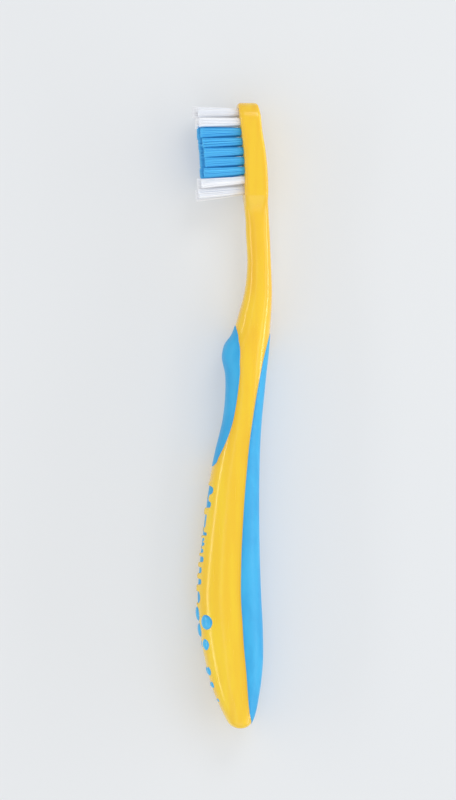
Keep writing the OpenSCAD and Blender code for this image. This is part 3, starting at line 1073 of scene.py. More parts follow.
@dataclass
class SoftPad:
    """A soft pad moulded into the skin: rounded along its edge, crowned in the middle."""

    class Side(Enum):
        """The side of the handle that the pad lies on."""

        BACK = 0
        FRONT = 1

    line: BrushLine
    name: str
    node: str
    side: Side
    start: float
    length: float
    # Place along the pad as a share, and half its span in degrees round the section
    edge_shares: Sequence[Sequence[float]]
    row_step: float
    proud: float = 0.1
    crown: float = 0.05
    belly_power: float = 0.4
    edge_slope: float = 1.3
    edge_limits: Span = (1.0, 89.0)
    margin: float = 0.45
    sunk: float = 0.4
    floor: float = 1.1
    butt_gap: float = 0.05
    # How far in from the pad's edge the painted shade along its rim reaches
    rim_shade_reach: float = 0.3
    # How far the skin is measured from the pad's middle line, as a share of half a turn
    girth_share: float = 0.75
    girth_samples: int = 271
    outline_samples: int = 361
    columns: int = 97
    # How strongly the columns crowd at the edges, up to 1
    crowding: float = 0.86
    # Where more rows lie round each end, as shares of the margin
    end_shares: Sequence[float] = (-1, -0.6, -0.3, 0, 0.3, 0.6, 1)

    def edge(self, y: np.ndarray) -> np.ndarray:
        """Half the pad's span as an angle round the section.

        Args:
            y: Places along the brush.

        Returns:
            Angles in radians.
        """
        shares = np.clip((y - self.start) / self.length, 0, 1)
        degrees = smooth_curve(np.array(self.edge_shares, float), shares)
        return self.line.turn_of(y, np.clip(degrees, *self.edge_limits))

    def girth(self, y: np.ndarray) -> tuple[np.ndarray, np.ndarray]:
        """Lengths along the skin from the pad's middle line, at a run of angles.

        Args:
            y: Places along the brush.

        Returns:
            The angles, and one row of lengths for each place.
        """
        turns = np.linspace(0, math.pi * self.girth_share, self.girth_samples)
        points = self.line.skin(y[:, None], turns[None, :]) / MM
        steps = np.linalg.norm(np.diff(points, axis=1), axis=2)
        return turns, np.hstack([np.zeros((len(y), 1)), np.cumsum(steps, axis=1)])

    def outline(self) -> np.ndarray:
        """One side of the pad's outline.

        Returns:
            Its points, as place along the brush and length from the middle line.
        """
        share = (1 - np.cos(np.linspace(0, math.pi, self.outline_samples))) / 2
        y = self.start + self.length * share
        turns, lengths = self.girth(y)
        half = np.array([np.interp(t, turns, row) for t, row in zip(self.edge(y), lengths)])
        body = np.column_stack([y, half])
        return np.vstack([[self.start, 0], body, [self.start + self.length, 0]])

    def rows(self) -> np.ndarray:
        """The places of the pad's rows of points, which are closer round its ends.

        Returns:
            Places along the brush.
        """
        end = self.start + self.length
        count = int((self.length + 2 * self.margin) / self.row_step) + 1
        even = np.linspace(self.start - self.margin, end + self.margin, count)
        close = self.margin * np.array(self.end_shares)
        rows = np.unique(np.round(np.concatenate([even, self.start + close, end + close]), 3))
        return rows[(rows > self.butt_gap) & (rows < self.line.length)]

    def height(self, y: np.ndarray, away: np.ndarray, span: np.ndarray) -> np.ndarray:
        """How high the pad's top lies over the skin.

        Args:
            y: The places of the rows.
            away: How far each point lies inside the outline, or outside it below zero.
            span: How far it lies from the middle line, as a share of the half width.

        Returns:
            The heights.
        """
        fade = self.proud / self.edge_slope
        rise = self.proud * (1 - fading(away, fade))
        belly = np.clip((y - self.start) / self.length, 0, 1)
        belly = np.sin(belly * math.pi) ** self.belly_power
        rise += self.crown * (1 - span ** 2) * belly[:, None] * (away > 0)
        sink = np.maximum(away * self.edge_slope, -self.sunk)
        return np.where(away > 0, rise, sink)

    def build(self, material: bpy.types.Material) -> bpy.types.Object:
        """Builds the pad as a closed shell.

        Args:
            material: Its finish.

        Returns:
            The piece, riding on the body.
        """
        y = self.rows()
        end = self.start + self.length
        path = self.outline()
        turns, lengths = self.girth(y)
        half = np.interp(np.clip(y, self.start, end), path[1:-1, 0], path[1:-1, 1])
        spread = np.sin(np.linspace(-1, 1, self.columns) * math.pi / 2 * self.crowding)
        spread = spread / math.sin(math.pi / 2 * self.crowding)
        across = spread[None, :] * (half + self.margin)[:, None]
        turn = np.array([np.interp(np.abs(s), row, turns) for s, row in zip(across, lengths)])
        flat = np.column_stack([np.repeat(y, self.columns), np.abs(across).ravel()])
        away = path_distance(flat, path).reshape(across.shape)
        within = (np.abs(across) < half[:, None]) & ((y > self.start) & (y < end))[:, None]
        away = np.where(within, away, -away)
        height = self.height(y, away, np.clip(np.abs(across) / half[:, None], 0, 1))
        facing = np.sign(across) * turn
        if self.side is SoftPad.Side.FRONT:
            facing = math.pi - facing
        # Painted shade along the pad's rim
        rim = fading(away, self.rim_shade_reach)
        piece = self.line.cover(
            self.name, np.tile(np.repeat(y, self.columns), 2), np.tile(facing.ravel(), 2),
            np.concatenate([height.ravel(), np.full(height.size, -self.floor)]),
            shell_faces(len(y), self.columns), material, {"rim": np.tile(rim.ravel(), 2)})
        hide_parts(self.node)
        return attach(piece, BODY)


@dataclass
class ThumbPad(SoftPad):
    """The leaf-shaped pad under the thumb, on the front."""

    name: str = "thumb_rest_pad"
    node: str = "thumb_pad"
    side: SoftPad.Side = SoftPad.Side.FRONT
    start: float = 67.0
    length: float = 36.0
    edge_shares: Sequence[Sequence[float]] = (
        (0, 9), (0.015, 23), (0.0625, 34), (0.136, 47), (0.279, 59), (0.425, 64.5), (0.57, 69),
        (0.715, 74.5), (0.805, 76), (0.863, 70), (0.906, 58), (0.948, 41), (0.985, 21), (1, 9),
    )
    row_step: float = 0.2


@dataclass
class BackStrip(SoftPad):
    """The long strip down the back of the grip."""

    name: str = "back_grip_strip"
    node: str = "back_grip"
    side: SoftPad.Side = SoftPad.Side.BACK
    start: float = 1.0
    length: float = 100.0
    edge_shares: Sequence[Sequence[float]] = (
        (0, 16), (0.004, 27), (0.023, 56), (0.042, 64), (0.079, 69.5), (0.132, 73.5),
        (0.184, 76), (0.276, 76), (0.461, 74.5), (0.573, 71.8), (0.66, 69.3), (0.753, 67.5),
        (0.845, 60.5), (0.906, 50), (0.937, 43), (0.968, 33), (0.99, 21), (1, 9),
    )
    row_step: float = 0.3


@dataclass
class SkinRings:
    """Rings of points over the skin, gathered with the faces between them."""

    # Place, turn, lift, painted shade by the pads' edges, and painted shade in the recess and round
    # the countersinks, of each point, one block for each stretch
    blocks: list[np.ndarray] = field(default_factory=list)
    faces: list[list[int]] = field(default_factory=list)
    count: int = 0

    def add(self, *numbers: Union[float, np.ndarray]) -> int:
        """Adds points.

        Args:
            numbers: Their place, turn, lift, painted shade by the pads and painted shade in the
                recess, one by one or one for all.

        Returns:
            The number of the first.
        """
        first = self.count
        self.blocks.append(np.stack([n.ravel() for n in np.broadcast_arrays(*numbers)]))
        self.count += self.blocks[-1].shape[1]
        return first


@dataclass
class HandleMoulding:
    """The rigid moulding: grip, neck and head in one, with a recess for the front grip."""

    line: BrushLine
    pads: Sequence[SoftPad]
    grip: "FrontGrip"
    bristles: "BristleField"
    sink_depth: float = 0.32
    sink_inner: float = 0.8
    sink_outer: float = 1.13
    # Points of a plain ring, steps of a rounded end, and shares of the rings that close an end
    around: int = 144
    end_steps: int = 13
    cap_shares: Sequence[float] = (0.7, 0.4, 0.0)
    # Steps between the rings of the handle, of the head and of the front grip
    step: float = 0.52
    head_step: float = 0.18
    grip_step: float = 0.14
    # How far below the shoulder the closer rings start
    shoulder_run: float = 2.5
    # The least gap between rings: at the rounded ends, between them, and beside the grip
    end_gap: float = 0.004
    ring_gap: float = 0.09
    zone_gap: float = 0.1
    # The ring over the front grip: its fine steps and their reach in degrees, and other points
    grip_turn_step: float = 0.85
    grip_turn_reach: float = 41.0
    rest_around: int = 98
    # Cosines of the angles past which a point counts as lying on the front
    grip_facing: float = -0.5
    head_facing: float = -0.3
    # How far the painted shade reaches from a pad's edge
    edge_shade_reach: float = 0.6

    def places(self) -> np.ndarray:
        """Where the rings lie: close at the round ends and from the shoulder on.

        Returns:
            Places along the brush.
        """
        line = self.line
        quarter = 1 - np.cos(np.linspace(0, math.pi / 2, self.end_steps))
        shoulder = line.length - line.head_len
        runs = [
            line.butt_round * quarter,
            np.arange(line.butt_round, shoulder, self.step),
            np.arange(shoulder - self.shoulder_run, line.length - line.toe_round, self.head_step),
            line.length - line.toe_round * quarter,
        ]
        places = np.unique(np.round(np.concatenate(runs), 4))
        kept = [places[0]]
        for y in places[1:]:
            near_end = y < line.butt_round or y > line.length - line.toe_round
            if y - kept[-1] > (self.end_gap if near_end else self.ring_gap):
                kept.append(y)
        kept[-1] = line.length
        return np.array(kept)

    def pad_edge_shade(self, y: np.ndarray, turn: np.ndarray) -> np.ndarray:
        """How near each point lies to a pad's edge, from 0 to 1, for the painted shade there.

        Args:
            y: Places of the rings.
            turn: Angles round the section.

        Returns:
            One number for each point of each ring.
        """
        near = np.zeros((len(y), len(turn)))
        for pad in self.pads:
            edge = pad.edge(y)[:, None]
            own = turn if pad.side is SoftPad.Side.BACK else turn - math.pi
            own = np.abs((own + math.pi) % (2 * math.pi) - math.pi)[None, :]
            reach = self.line.at(y).half_depth[:, None]
            along = (y > pad.start) & (y < pad.start + pad.length)
            gap = np.abs(own - edge) * reach
            near = np.maximum(near, np.exp(-gap / self.edge_shade_reach) * along[:, None])
        return near

    def countersinks(self, y: np.ndarray, z: np.ndarray) -> np.ndarray:
        """How far the front of the head sinks round the roots of the tufts.

        Args:
            y: Places along the brush.
            z: Sideways places from the middle plane.

        Returns:
            The depths, below zero.
        """
        away = np.full(y.shape, np.inf)
        for row, count in enumerate(self.bristles.row_counts):
            for column in range(count):
                root_y, root_z = self.bristles.spot(row, column)
                away = np.minimum(away, np.hypot(y - root_y, z - root_z))
        t = np.clip((away - self.sink_inner) / (self.sink_outer - self.sink_inner), 0, 1)
        return -self.sink_depth * (1 - eased(t))

    def fine_turns(self) -> np.ndarray:
        """The angles of a ring that is close over the front grip.

        Returns:
            The sorted angles.
        """
        reach = math.radians(self.grip_turn_reach)
        front = np.arange(math.pi - reach, math.pi + reach, math.radians(self.grip_turn_step))
        rest = np.linspace(front[-1], 2 * math.pi + front[0], self.rest_around)[1:-1]
        return np.sort(np.concatenate([front, rest % (2 * math.pi)]))

    def stretch(self, y: np.ndarray, turns: np.ndarray, over_grip: bool) -> list[np.ndarray]:
        """The points of one stretch of rings.

        Args:
            y: Places of the rings.
            turns: Angles of each ring's points.
            over_grip: Whether the stretch lies over the front grip.

        Returns:
            Place, turn, lift, painted shade by the pads' edges, and painted shade in the recess or
            round the countersinks, of each point.
        """
        line = self.line
        place, turn = np.meshgrid(y, turns, indexing="ij")
        z = (line.skin(place, turn) / MM - line.origin)[..., 2]
        sink = near = np.zeros_like(place)
        # near: how much painted shade falls in the recess or round the countersinks
        if over_grip:
            front = np.cos(turn) < self.grip_facing
            sink, near = (part * front for part in self.grip.recess(place, z))
        elif y[-1] > line.length - line.head_len:
            sink = self.countersinks(place, z) * (np.cos(turn) < self.head_facing)
            near = sink / -self.sink_depth
        turn = np.where(sink != 0, line.front_turn(place, z, sink) % (2 * math.pi), turn)
        return [place, turn, sink, self.pad_edge_shade(y, turns), near]

    @staticmethod
    def zip_rings(low: np.ndarray, high: np.ndarray, first: int, second: int) -> list[list[int]]:
        """Triangles between two rings whose points lie at other angles.

        Args:
            low, high: The sorted angles of the two rings.
            first, second: The number of each ring's first point.

        Returns:
            The triangles.
        """
        faces = []
        i = j = 0
        while i < len(low) or j < len(high):
            next_low = low[i + 1] if i + 1 < len(low) else low[0] + 2 * math.pi
            next_high = high[j + 1] if j + 1 < len(high) else high[0] + 2 * math.pi
            a, b = first + i % len(low), second + j % len(high)
            if j >= len(high) or (i < len(low) and next_low <= next_high):
                faces.append([a, first + (i + 1) % len(low), b])
                i += 1
            else:
                faces.append([a, second + (j + 1) % len(high), b])
                j += 1
        return faces

    def cap(self, rings: SkinRings, turns: np.ndarray, y: float, first: int) -> None:
        """Closes one end with rings that draw in to its middle.

        Args:
            rings: The rings, which it adds to.
            turns: The angles of the end ring's points.
            y: The place of the end.
            first: The number of the end ring's first point.
        """
        size = float(self.line.at(np.array([y])).half_depth[0])
        before = first
        for share in self.cap_shares:
            ring = turns if share else turns[:1]
            inner = rings.add(y, ring, (share - 1) * size, 0.0, 0.0)
            for i in range(len(turns)):
                j = (i + 1) % len(turns)
                tip = [inner + j, inner + i] if share else [inner]
                band = [before + i, before + j, *tip]
                rings.faces.append(band[::-1] if first == 0 else band)
            before = inner

    def build(self, material: bpy.types.Material) -> bpy.types.Object:
        """Builds the moulding as one closed skin with round ends.

        Args:
            material: Its finish.

        Returns:
            The piece, riding on the body.
        """
        rows = self.places()
        low, high = self.grip.span()
        plain = np.linspace(0, 2 * math.pi, self.around, endpoint=False)
        stretches = (
            (rows[rows < low - self.zone_gap], plain, False),
            (np.arange(low, high, self.grip_step), self.fine_turns(), True),
            (rows[rows > high + self.zone_gap], plain, False),
        )
        rings = SkinRings()
        last: Optional[tuple[np.ndarray, int]] = None
        for y, turns, over_grip in stretches:
            first = rings.add(*self.stretch(y, turns, over_grip))
            if last is not None:
                rings.faces += self.zip_rings(last[0], turns, last[1], first)
            rings.faces += grid_faces(len(y), len(turns), first, closed=True)
            last = (turns, rings.count - len(turns))
        toe_ring = rings.count - self.around
        self.cap(rings, plain, 0.0, 0)
        self.cap(rings, plain, self.line.length, toe_ring)
        place, turn, lift, painted_shade, shade = np.hstack(rings.blocks)
        piece = self.line.cover(
            "handle_moulding", place, turn, lift, rings.faces, material,
            {"painted_shade": painted_shade, "shade": shade})
        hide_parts("handle_core")
        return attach(piece, BODY)


@dataclass
class FrontGrip:
    """The soft field on the front of the grip, with round-ended fingers along both sides."""

    line: BrushLine
    start: float = 31.7
    length: float = 30.5
    width: float = 8.2
    # How deep the field lies in the skin, how its rim rolls down, and how far down its edge
    # and its underside go
    deep: float = 0.2
    roll: float = 0.12
    roll_reach: float = 0.1
    sunk: float = 0.3
    floor: float = 1.1
    # Step of the field's points, how far they go past the outline, and the reach of the painted
    # shade along its rim
    pitch: float = 0.1
    margin: float = 0.2
    rim_shade_reach: float = 0.22
    # Keeps the points of the middle line inside the half outline
    off_middle: float = 1e-6
    # The recess in the moulding: its depth, and the start and the run of its wall
    recess_depth: float = 0.45
    wall_from: float = -0.1
    wall_run: float = 0.3
    # The knobs between the fingers: how far and how fast they rise, and where they end
    knob_rise: float = 0.24
    knob_rim: float = 0.16
    knob_reach: float = 1.5
    knob_fade: float = 1.2
    arc_steps: int = 10
    end_bulge_share: float = 0.1
    # Lower edge, upper edge and reach of each finger, and the reach of each notch between
    finger_shares: Sequence[Sequence[float]] = (
        (0.013, 0.108, 0.8), (0.166, 0.213, 0.86), (0.262, 0.311, 0.78), (0.354, 0.402, 0.9),
        (0.433, 0.463, 0.77), (0.494, 0.519, 0.82), (0.534, 0.556, 0.74), (0.577, 0.604, 0.94),
        (0.651, 0.751, 0.64), (0.81, 0.861, 0.98), (0.924, 0.985, 1),
    )
    notch_shares: Sequence[float] = (0.15, 0.2, 0.2, 0.32, 0.5, 0.56, 0.17, 0.5, 0.22, 0.58)

    def outline(self) -> np.ndarray:
        """One half of the outline, from the lower end to the upper one.

        Returns:
            Its points, as place along the brush and sideways place.
        """
        fingers = [(self.start + f[0] * self.length, self.start + f[1] * self.length,
                    f[2] * self.width / 2) for f in self.finger_shares]
        notches = []
        for i, share in enumerate(self.notch_shares):
            low, high = fingers[i][1], fingers[i + 1][0]
            tip = share * self.width / 2
            reach = min(fingers[i][2], fingers[i + 1][2])
            half = (high - low) / 2
            depth = min(half, (reach - tip) / 2)
            notches.append(((low + high) / 2, tip + depth, half, depth))
        path: list[tuple[float, float]] = []
        for i, (low, high, reach) in enumerate(fingers):
            base = max(n[1] for k, n in enumerate(notches) if k in (i - 1, i))
            r = min((high - low) / 2, reach - base)
            for k in range(self.arc_steps + 1):
                a = math.pi * (1 - k / self.arc_steps)
                side = np.sign(2 * k - self.arc_steps)
                path.append(((low + high) / 2 + r * math.cos(a) + side * ((high - low) / 2 - r),
                             reach - r + r * math.sin(a)))
            if i < len(notches):
                mid, height, half, depth = notches[i]
                for k in range(self.arc_steps + 1):
                    a = math.pi * (1 + k / self.arc_steps)
                    path.append((mid + half * math.cos(a), height + depth * math.sin(a)))
        bulge = self.end_bulge_share * self.width / 2
        u = np.linspace(0, 1, self.arc_steps, endpoint=False)
        low_end = [(path[0][0] - bulge * (1 - k * k), k * path[0][1]) for k in u]
        high_end = [(path[-1][0] + bulge * (1 - k * k), k * path[-1][1]) for k in u[::-1]]
        return np.array(low_end + path + high_end)

    def span(self) -> tuple[float, float]:
        """The first and the last place that the recess reaches."""
        path = self.outline()
        return path[:, 0].min() - self.knob_fade, path[:, 0].max() + self.knob_fade

    def depth_inside(self, y: np.ndarray, z: np.ndarray) -> np.ndarray:
        """How far points lie inside the outline, or outside it below zero.

        Args:
            y: Places along the brush.
            z: Sideways places from the middle plane.

        Returns:
            The distances to the outline.
        """
        path = self.outline()
        flat = np.column_stack([y.ravel(), np.abs(z).ravel() + self.off_middle])
        away = path_distance(flat, path)
        return np.where(inside(flat, path), away, -away).reshape(y.shape)

    def recess(self, y: np.ndarray, z: np.ndarray) -> tuple[np.ndarray, np.ndarray]:
        """The recess that the field lies in.

        Args:
            y: Places along the brush.
            z: Sideways places from the middle plane.

        Returns:
            How far the skin rises to the knobs between the fingers or sinks under the field,
            and how near each point lies to the field, from 0 to 1.
        """
        away = self.depth_inside(y, z)
        t = np.clip((away - self.wall_from) / self.wall_run, 0, 1)
        beyond = np.maximum(self.start - y, y - self.start - self.length)
        beyond = np.maximum(beyond, np.abs(z) - self.knob_reach)
        kept = 1 - np.clip(beyond / self.knob_fade, 0, 1)
        near = fading(-away, self.knob_rim)
        knob = self.knob_rise * (1 - near) * eased(kept)
        return knob - self.recess_depth * eased(t), near

    def build(self, material: bpy.types.Material) -> bpy.types.Object:
        """Builds the field as a closed shell.

        Args:
            material: Its finish.

        Returns:
            The piece, riding on the body.
        """
        path = self.outline()
        y = np.arange(path[:, 0].min() - self.margin, path[:, 0].max() + self.margin, self.pitch)
        z = np.linspace(-1, 1, int((self.width + 2 * self.margin) / self.pitch) | 1)
        z = z * (self.width / 2 + self.margin)
        yy, zz = np.meshgrid(y, z, indexing="ij")
        away = self.depth_inside(yy, zz)
        top = -self.deep - self.roll * fading(away, self.roll_reach)
        top = np.where(away > 0, top, np.maximum(top + away, -self.deep - self.sunk))
        under = np.full_like(top, -self.floor)
        turns = [self.line.front_turn(yy, zz, lift).ravel() for lift in (top, under)]
        # Painted shade along the field's rim
        rim = fading(away, self.rim_shade_reach).ravel()
        piece = self.line.cover(
            "front_grip_field", np.tile(yy.ravel(), 2), np.concatenate(turns),
            np.concatenate([top.ravel(), under.ravel()]), shell_faces(len(y), len(z)), material,
            {"rim": np.tile(rim, 2)})
        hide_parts("front_grip")
        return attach(piece, BODY)


@dataclass
class GripBubbles:
    """Round domed islands of soft rubber below the front grip, smaller towards the butt."""

    line: BrushLine
    grip: FrontGrip
    diameter: float = 4.0
    crown: float = 0.66
    plug: float = 0.6
    rim_sink: float = 0.06
    # The form of a dome: the powers of its reach and of its height, and where the painted shade of
    # its rim starts
    reach_power: float = 1.5
    height_power: float = 0.75
    rim_shade_from: float = 0.5
    # The half turn over which the fall of the skin is measured, and its steps
    fall_turn: float = 0.9
    fall_samples: int = 721
    # Distance below the front grip as a share of the diameter, angle from the front line in
    # degrees, and the bubble's own share of the diameter
    shares: Sequence[Sequence[float]] = (
        (0.59, 0, 1), (1.655, 0, 0.95), (1.115, 39, 0.97), (1.115, -39, 0.97),
        (2.55, 26, 0.74), (2.55, -26, 0.74), (4.26, 16, 0.6), (4.26, -16, 0.6),
        (5.14, 16, 0.45), (5.14, -16, 0.45), (6.12, 19, 0.27), (6.12, -19, 0.27),
    )

    def pattern(self) -> Pattern:
        """Builds the tree of one bubble: a pillow over the skin and a plug below it.

        Returns:
            The tree.
        """
        pattern = Pattern(
            "grip_bubble",
            sizes=("Radius", "Crown", "Plug", "Rim sink", "Fall across", "Fall along"),
            places=("Place", "Across", "Along", "Out"))
        graph, given = pattern.graph, pattern.given
        ball = graph.node(
            "GeometryNodeMeshUVSphere", {}, {"Segments": 48, "Rings": 26, "Radius": 1.0})
        x = graph.node("ShaderNodeSeparateXYZ", {}, {0: graph.node("GeometryNodeInputPosition")})
        y, z = graph.output(x, "Y"), graph.output(x, "Z")
        reach = (x * x + y * y).clamped()
        pillow = (1.0 - reach ** self.reach_power) ** self.height_power
        above = z.math("GREATER_THAN", 0.0)
        fall = given("Fall across") * x * x + given("Fall along") * y * y + given("Rim sink")
        swell = above * (given("Crown") + given("Rim sink")) - (1.0 - above) * given("Plug")
        height = swell * pillow - fall
        spot = given("Across").scaled(x * given("Radius")).vector(
            "ADD", given("Along").scaled(y * given("Radius")))
        spot = spot.vector("ADD", given("Out").scaled(height)).vector("ADD", given("Place"))
        # Painted shade round the dome's rim
        marked = pattern.mark(ball, "rim", graph.ease(reach, self.rim_shade_from, 1.0))
        pattern.close(pattern.move(marked, spot))
        return pattern

    def fall(self, y: float, turn: float, step: float, along: bool) -> float:
        """How far the skin falls below its tangent plane at a step from a point.

        Args:
            y: Place along the brush.
            turn: Angle round the section.
            step: The step, in millimetres.
            along: Whether the step goes along the brush, and not across it.

        Returns:
            The fall in metres.
        """
        centre = Vector(self.line.skin(y, turn))
        across, _, out = self.line.normal(y, turn)
        if along:
            near = [Vector(self.line.skin(y + s * step, turn)) for s in (-1, 1)]
            return max(0.0, -sum((p - centre).dot(out) for p in near) / 2)
        turns = np.linspace(turn - self.fall_turn, turn + self.fall_turn, self.fall_samples)
        offset = self.line.skin(np.full_like(turns, y), turns) - np.array(centre)
        sideways = offset @ np.array(across)
        drop = -(offset @ np.array(out))
        order = np.argsort(sideways)
        reach = step * MM
        both = np.interp([-reach, reach], sideways[order], drop[order])
        return max(0.0, float(both.mean()))

    def build(self, material: bpy.types.Material) -> list[bpy.types.Object]:
        """Builds all twelve bubbles.

        Args:
            material: Their finish.

        Returns:
            The pieces, riding on the body.
        """
        pattern = self.pattern()
        pieces = []
        for number, (below, degrees, share) in enumerate(self.shares, 1):
            y = self.grip.start - below * self.diameter
            local = float(self.line.turn_of(np.array(y), np.array(abs(degrees))))
            turn = math.pi - math.copysign(local, degrees)
            radius = share * self.diameter / 2
            across, along, out = self.line.normal(y, turn)
            piece = pattern.make(f"bubble_{number}.dome", {
                "Radius": radius * MM, "Crown": self.crown * share * MM, "Plug": self.plug * MM,
                "Rim sink": self.rim_sink * MM,
                "Fall across": self.fall(y, turn, radius, False),
                "Fall along": self.fall(y, turn, radius, True),
                "Place": list(map(float, self.line.skin(y, turn))),
                "Across": list(across), "Along": list(along), "Out": list(out),
                "Finish": material,
            })
            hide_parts(f"bubble_{number}")
            pieces.append(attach(piece, BODY))
        return pieces


@dataclass
class BristleField:
    """Thirty-four tufts in nine rows, each a spiral bundle of strands that fans to its tip."""

    class Tint(Enum):
        """The colour of a row of tufts."""

        WHITE = "bristle_white"
        BLUE = "bristle_blue"

    line: BrushLine
    row_pitch: float = 2.48
    col_pitch: float = 2.45
    toe_gap: float = 2.5
    height: float = 12.0
    tip_d: float = 2.36
    heel_lean: float = 5.8
    strand_d: float = 0.2
    strands: int = 84
    buried: float = 0.5
    clearance: float = 0.006
    # How uneven the strands are: their lengths, places, slants and turns round the spiral
    ragged: float = 0.1
    stray: float = 0.045
    slant: float = 0.06
    turn_stray: float = 0.2
    # How far a tuft sways along the brush, and how that changes by row and by column
    sway: float = 0.15
    sway_turns: Span = (7.3, 2.9)
    # How a strand's slant and a tuft's sway grow towards the tip, and its points crowd there
    slant_power: float = 1.5
    sway_power: float = 1.4
    crowd_power: float = 2.2
    # Where the rounding of a strand's tip starts, and how far it draws the tip in
    round_from: float = 0.87
    round_share: float = 0.5
    # Width at the root, how far the tips fan along the brush, and how soon they open
    outer_fan: tuple[float, float, float] = (1.92, 1.06, 1.0)
    inner_fan: tuple[float, float, float] = (2.2, 1.36, 0.45)
    # Height of the tufts of each row from the toe, as shares
    outer_trim: Sequence[float] = (0.865, 0.875, 0.865, 0.85, 0.84, 0.835, 0.865, 0.93, 0.98)
    inner_trim: Sequence[float] = (0.98, 0.926, 0.904, 0.903, 0.903, 0.907, 0.918, 0.985, 1.025)
    row_counts: Sequence[int] = (3, 4, 4, 4, 4, 4, 4, 4, 3)
    white_rows: Sequence[int] = (0, 1, 7, 8)
    seed_step: int = 11

    def pattern(self) -> Pattern:
        """Builds the tree of one tuft.

        Returns:
            The tree.
        """
        pattern = Pattern(
            "bristle_tuft",
            sizes=("Root radius", "Tip across", "Tip along", "Opening", "Sway", "Inner",
                   "Strand radius", "Height", "Buried", "Ragged"),
            places=("Root", "Axis"), counts=("Strands", "Seed"))
        graph, given = pattern.graph, pattern.given
        spots = graph.node("GeometryNodePoints", {}, {"Count": given("Strands")})
        marked = pattern.mark(spots, "strand", graph.node("GeometryNodeInputIndex"))
        stick = graph.node(
            "GeometryNodeMeshCylinder", {"fill_type": "TRIANGLE_FAN"},
            {"Vertices": 6, "Side Segments": 6, "Fill Segments": 1, "Radius": 1.0, "Depth": 1.0},
            "Mesh")
        bundle = graph.node(
            "GeometryNodeInstanceOnPoints", {}, {"Points": marked, "Instance": stick})
        real = graph.node("GeometryNodeRealizeInstances", {}, {"Geometry": bundle})
        strand = pattern.read("strand")

        def chance(low: float, high: float, salt: int) -> Socket:
            """A random number for each strand."""
            return graph.node(
                "FunctionNodeRandomValue", {"data_type": "FLOAT"},
                {"Min": low, "Max": high, "ID": strand, "Seed": given("Seed") + salt}, "Value")

        px = graph.node("ShaderNodeSeparateXYZ", {}, {0: graph.node("GeometryNodeInputPosition")})
        py, pz = graph.output(px, "Y"), graph.output(px, "Z")
        up = (pz + 0.5).clamped()
        run = 1.0 - (1.0 - up) ** self.crowd_power
        share = ((strand + 0.5) / given("Strands")) ** 0.5
        turn = strand * GOLDEN_TURN + chance(-self.turn_stray, self.turn_stray, 1)
        opening = run ** given("Opening")
        fan = [given("Root radius") + (given(tip) - given("Root radius")) * opening
               for tip in ("Tip across", "Tip along")]
        stray = run * chance(-self.stray, self.stray, 2) * MM
        lean_x, lean_y = (
            run ** self.slant_power * chance(-self.slant, self.slant, salt) * MM
            for salt in (3, 4))
        round_tip = 1.0 - self.round_share * graph.ease(up, self.round_from, 1.0)
        thick = given("Strand radius") * round_tip
        long = given("Height") - given("Ragged") * chance(0.0, 1.0, 5) ** 2.0
        sx = (share * fan[0] + stray) * turn.math("COSINE") + px * thick + lean_x
        sy = (share * fan[1] + stray) * turn.math("SINE") + py * thick + lean_y
        sy = sy + run ** self.sway_power * given("Sway")
        sz = run * (long + given("Buried")) - given("Buried")
        side = graph.node("FunctionNodeInputVector", {"vector": (0.0, 0.0, 1.0)})
        over = given("Axis").vector("CROSS_PRODUCT", side)
        spot = side.scaled(sx).vector("ADD", over.scaled(sy))
        spot = spot.vector("ADD", given("Axis").scaled(sz)).vector("ADD", given("Root"))
        mesh = pattern.move(real, spot)
        # depth and inner feed the painted shade inside a tuft and in the inner tufts
        marks = {"tone": chance(0.0, 1.0, 6), "run": run, "depth": 1.0 - share,
                 "inner": given("Inner")}
        for name, value in marks.items():
            mesh = pattern.mark(mesh, name, value)
        pattern.close(mesh)
        return pattern

    def spot(self, row: int, column: int) -> tuple[float, float]:
        """The place along the brush and the sideways place of one tuft's root."""
        return (self.line.length - self.toe_gap - row * self.row_pitch,
                (column - (self.row_counts[row] - 1) / 2) * self.col_pitch)

    def outer(self, row: int, column: int) -> bool:
        """Whether a tuft stands at either side of its row."""
        return column in (0, self.row_counts[row] - 1)

    def root(self, row: int, column: int) -> tuple[np.ndarray, Vector, float]:
        """Where one tuft stands.

        Args:
            row: Its row from the toe.
            column: Its column across the head.

        Returns:
            Its root in metres, its direction and its height in millimetres.
        """
        y, z = self.spot(row, column)
        lean = math.radians(self.heel_lean * row / (len(self.row_counts) - 1))
        share = (self.outer_trim if self.outer(row, column) else self.inner_trim)[row]
        point = self.line.front(np.array(y), np.array(z))
        return point, Vector((-math.cos(lean), -math.sin(lean), 0.0)), self.height * share

    def tuft(
        self, pattern: Pattern, row: int, column: int, finish: bpy.types.Material,
    ) -> bpy.types.Object:
        """Builds the strands of one tuft.

        Args:
            pattern: The tree of a tuft.
            row: Its row from the toe.
            column: Its column across the head.
            finish: Its finish.

        Returns:
            The strands, as one piece.
        """
        point, axis, height = self.root(row, column)
        outer = self.outer(row, column)
        root_d, spread, opening = self.outer_fan if outer else self.inner_fan
        by_row, by_column = self.sway_turns
        return pattern.make(f"tuft_{row + 1}_{column + 1}.strands", {
            "Strands": self.strands,
            "Root radius": (root_d - self.strand_d) / 2 * MM,
            "Tip across": (self.tip_d - self.strand_d) / 2 * MM,
            "Tip along": (self.tip_d * spread - self.strand_d) / 2 * MM,
            "Opening": opening, "Inner": 0.0 if outer else 1.0,
            "Sway": self.sway * math.sin(by_row * row + by_column * column) * MM,
            "Strand radius": self.strand_d / 2 * MM,
            "Height": (height - self.clearance) * MM,
            "Buried": self.buried * MM, "Ragged": self.ragged * MM,
            "Seed": self.seed_step * row + column, "Root": list(map(float, point)),
            "Axis": list(axis), "Finish": finish,
        })

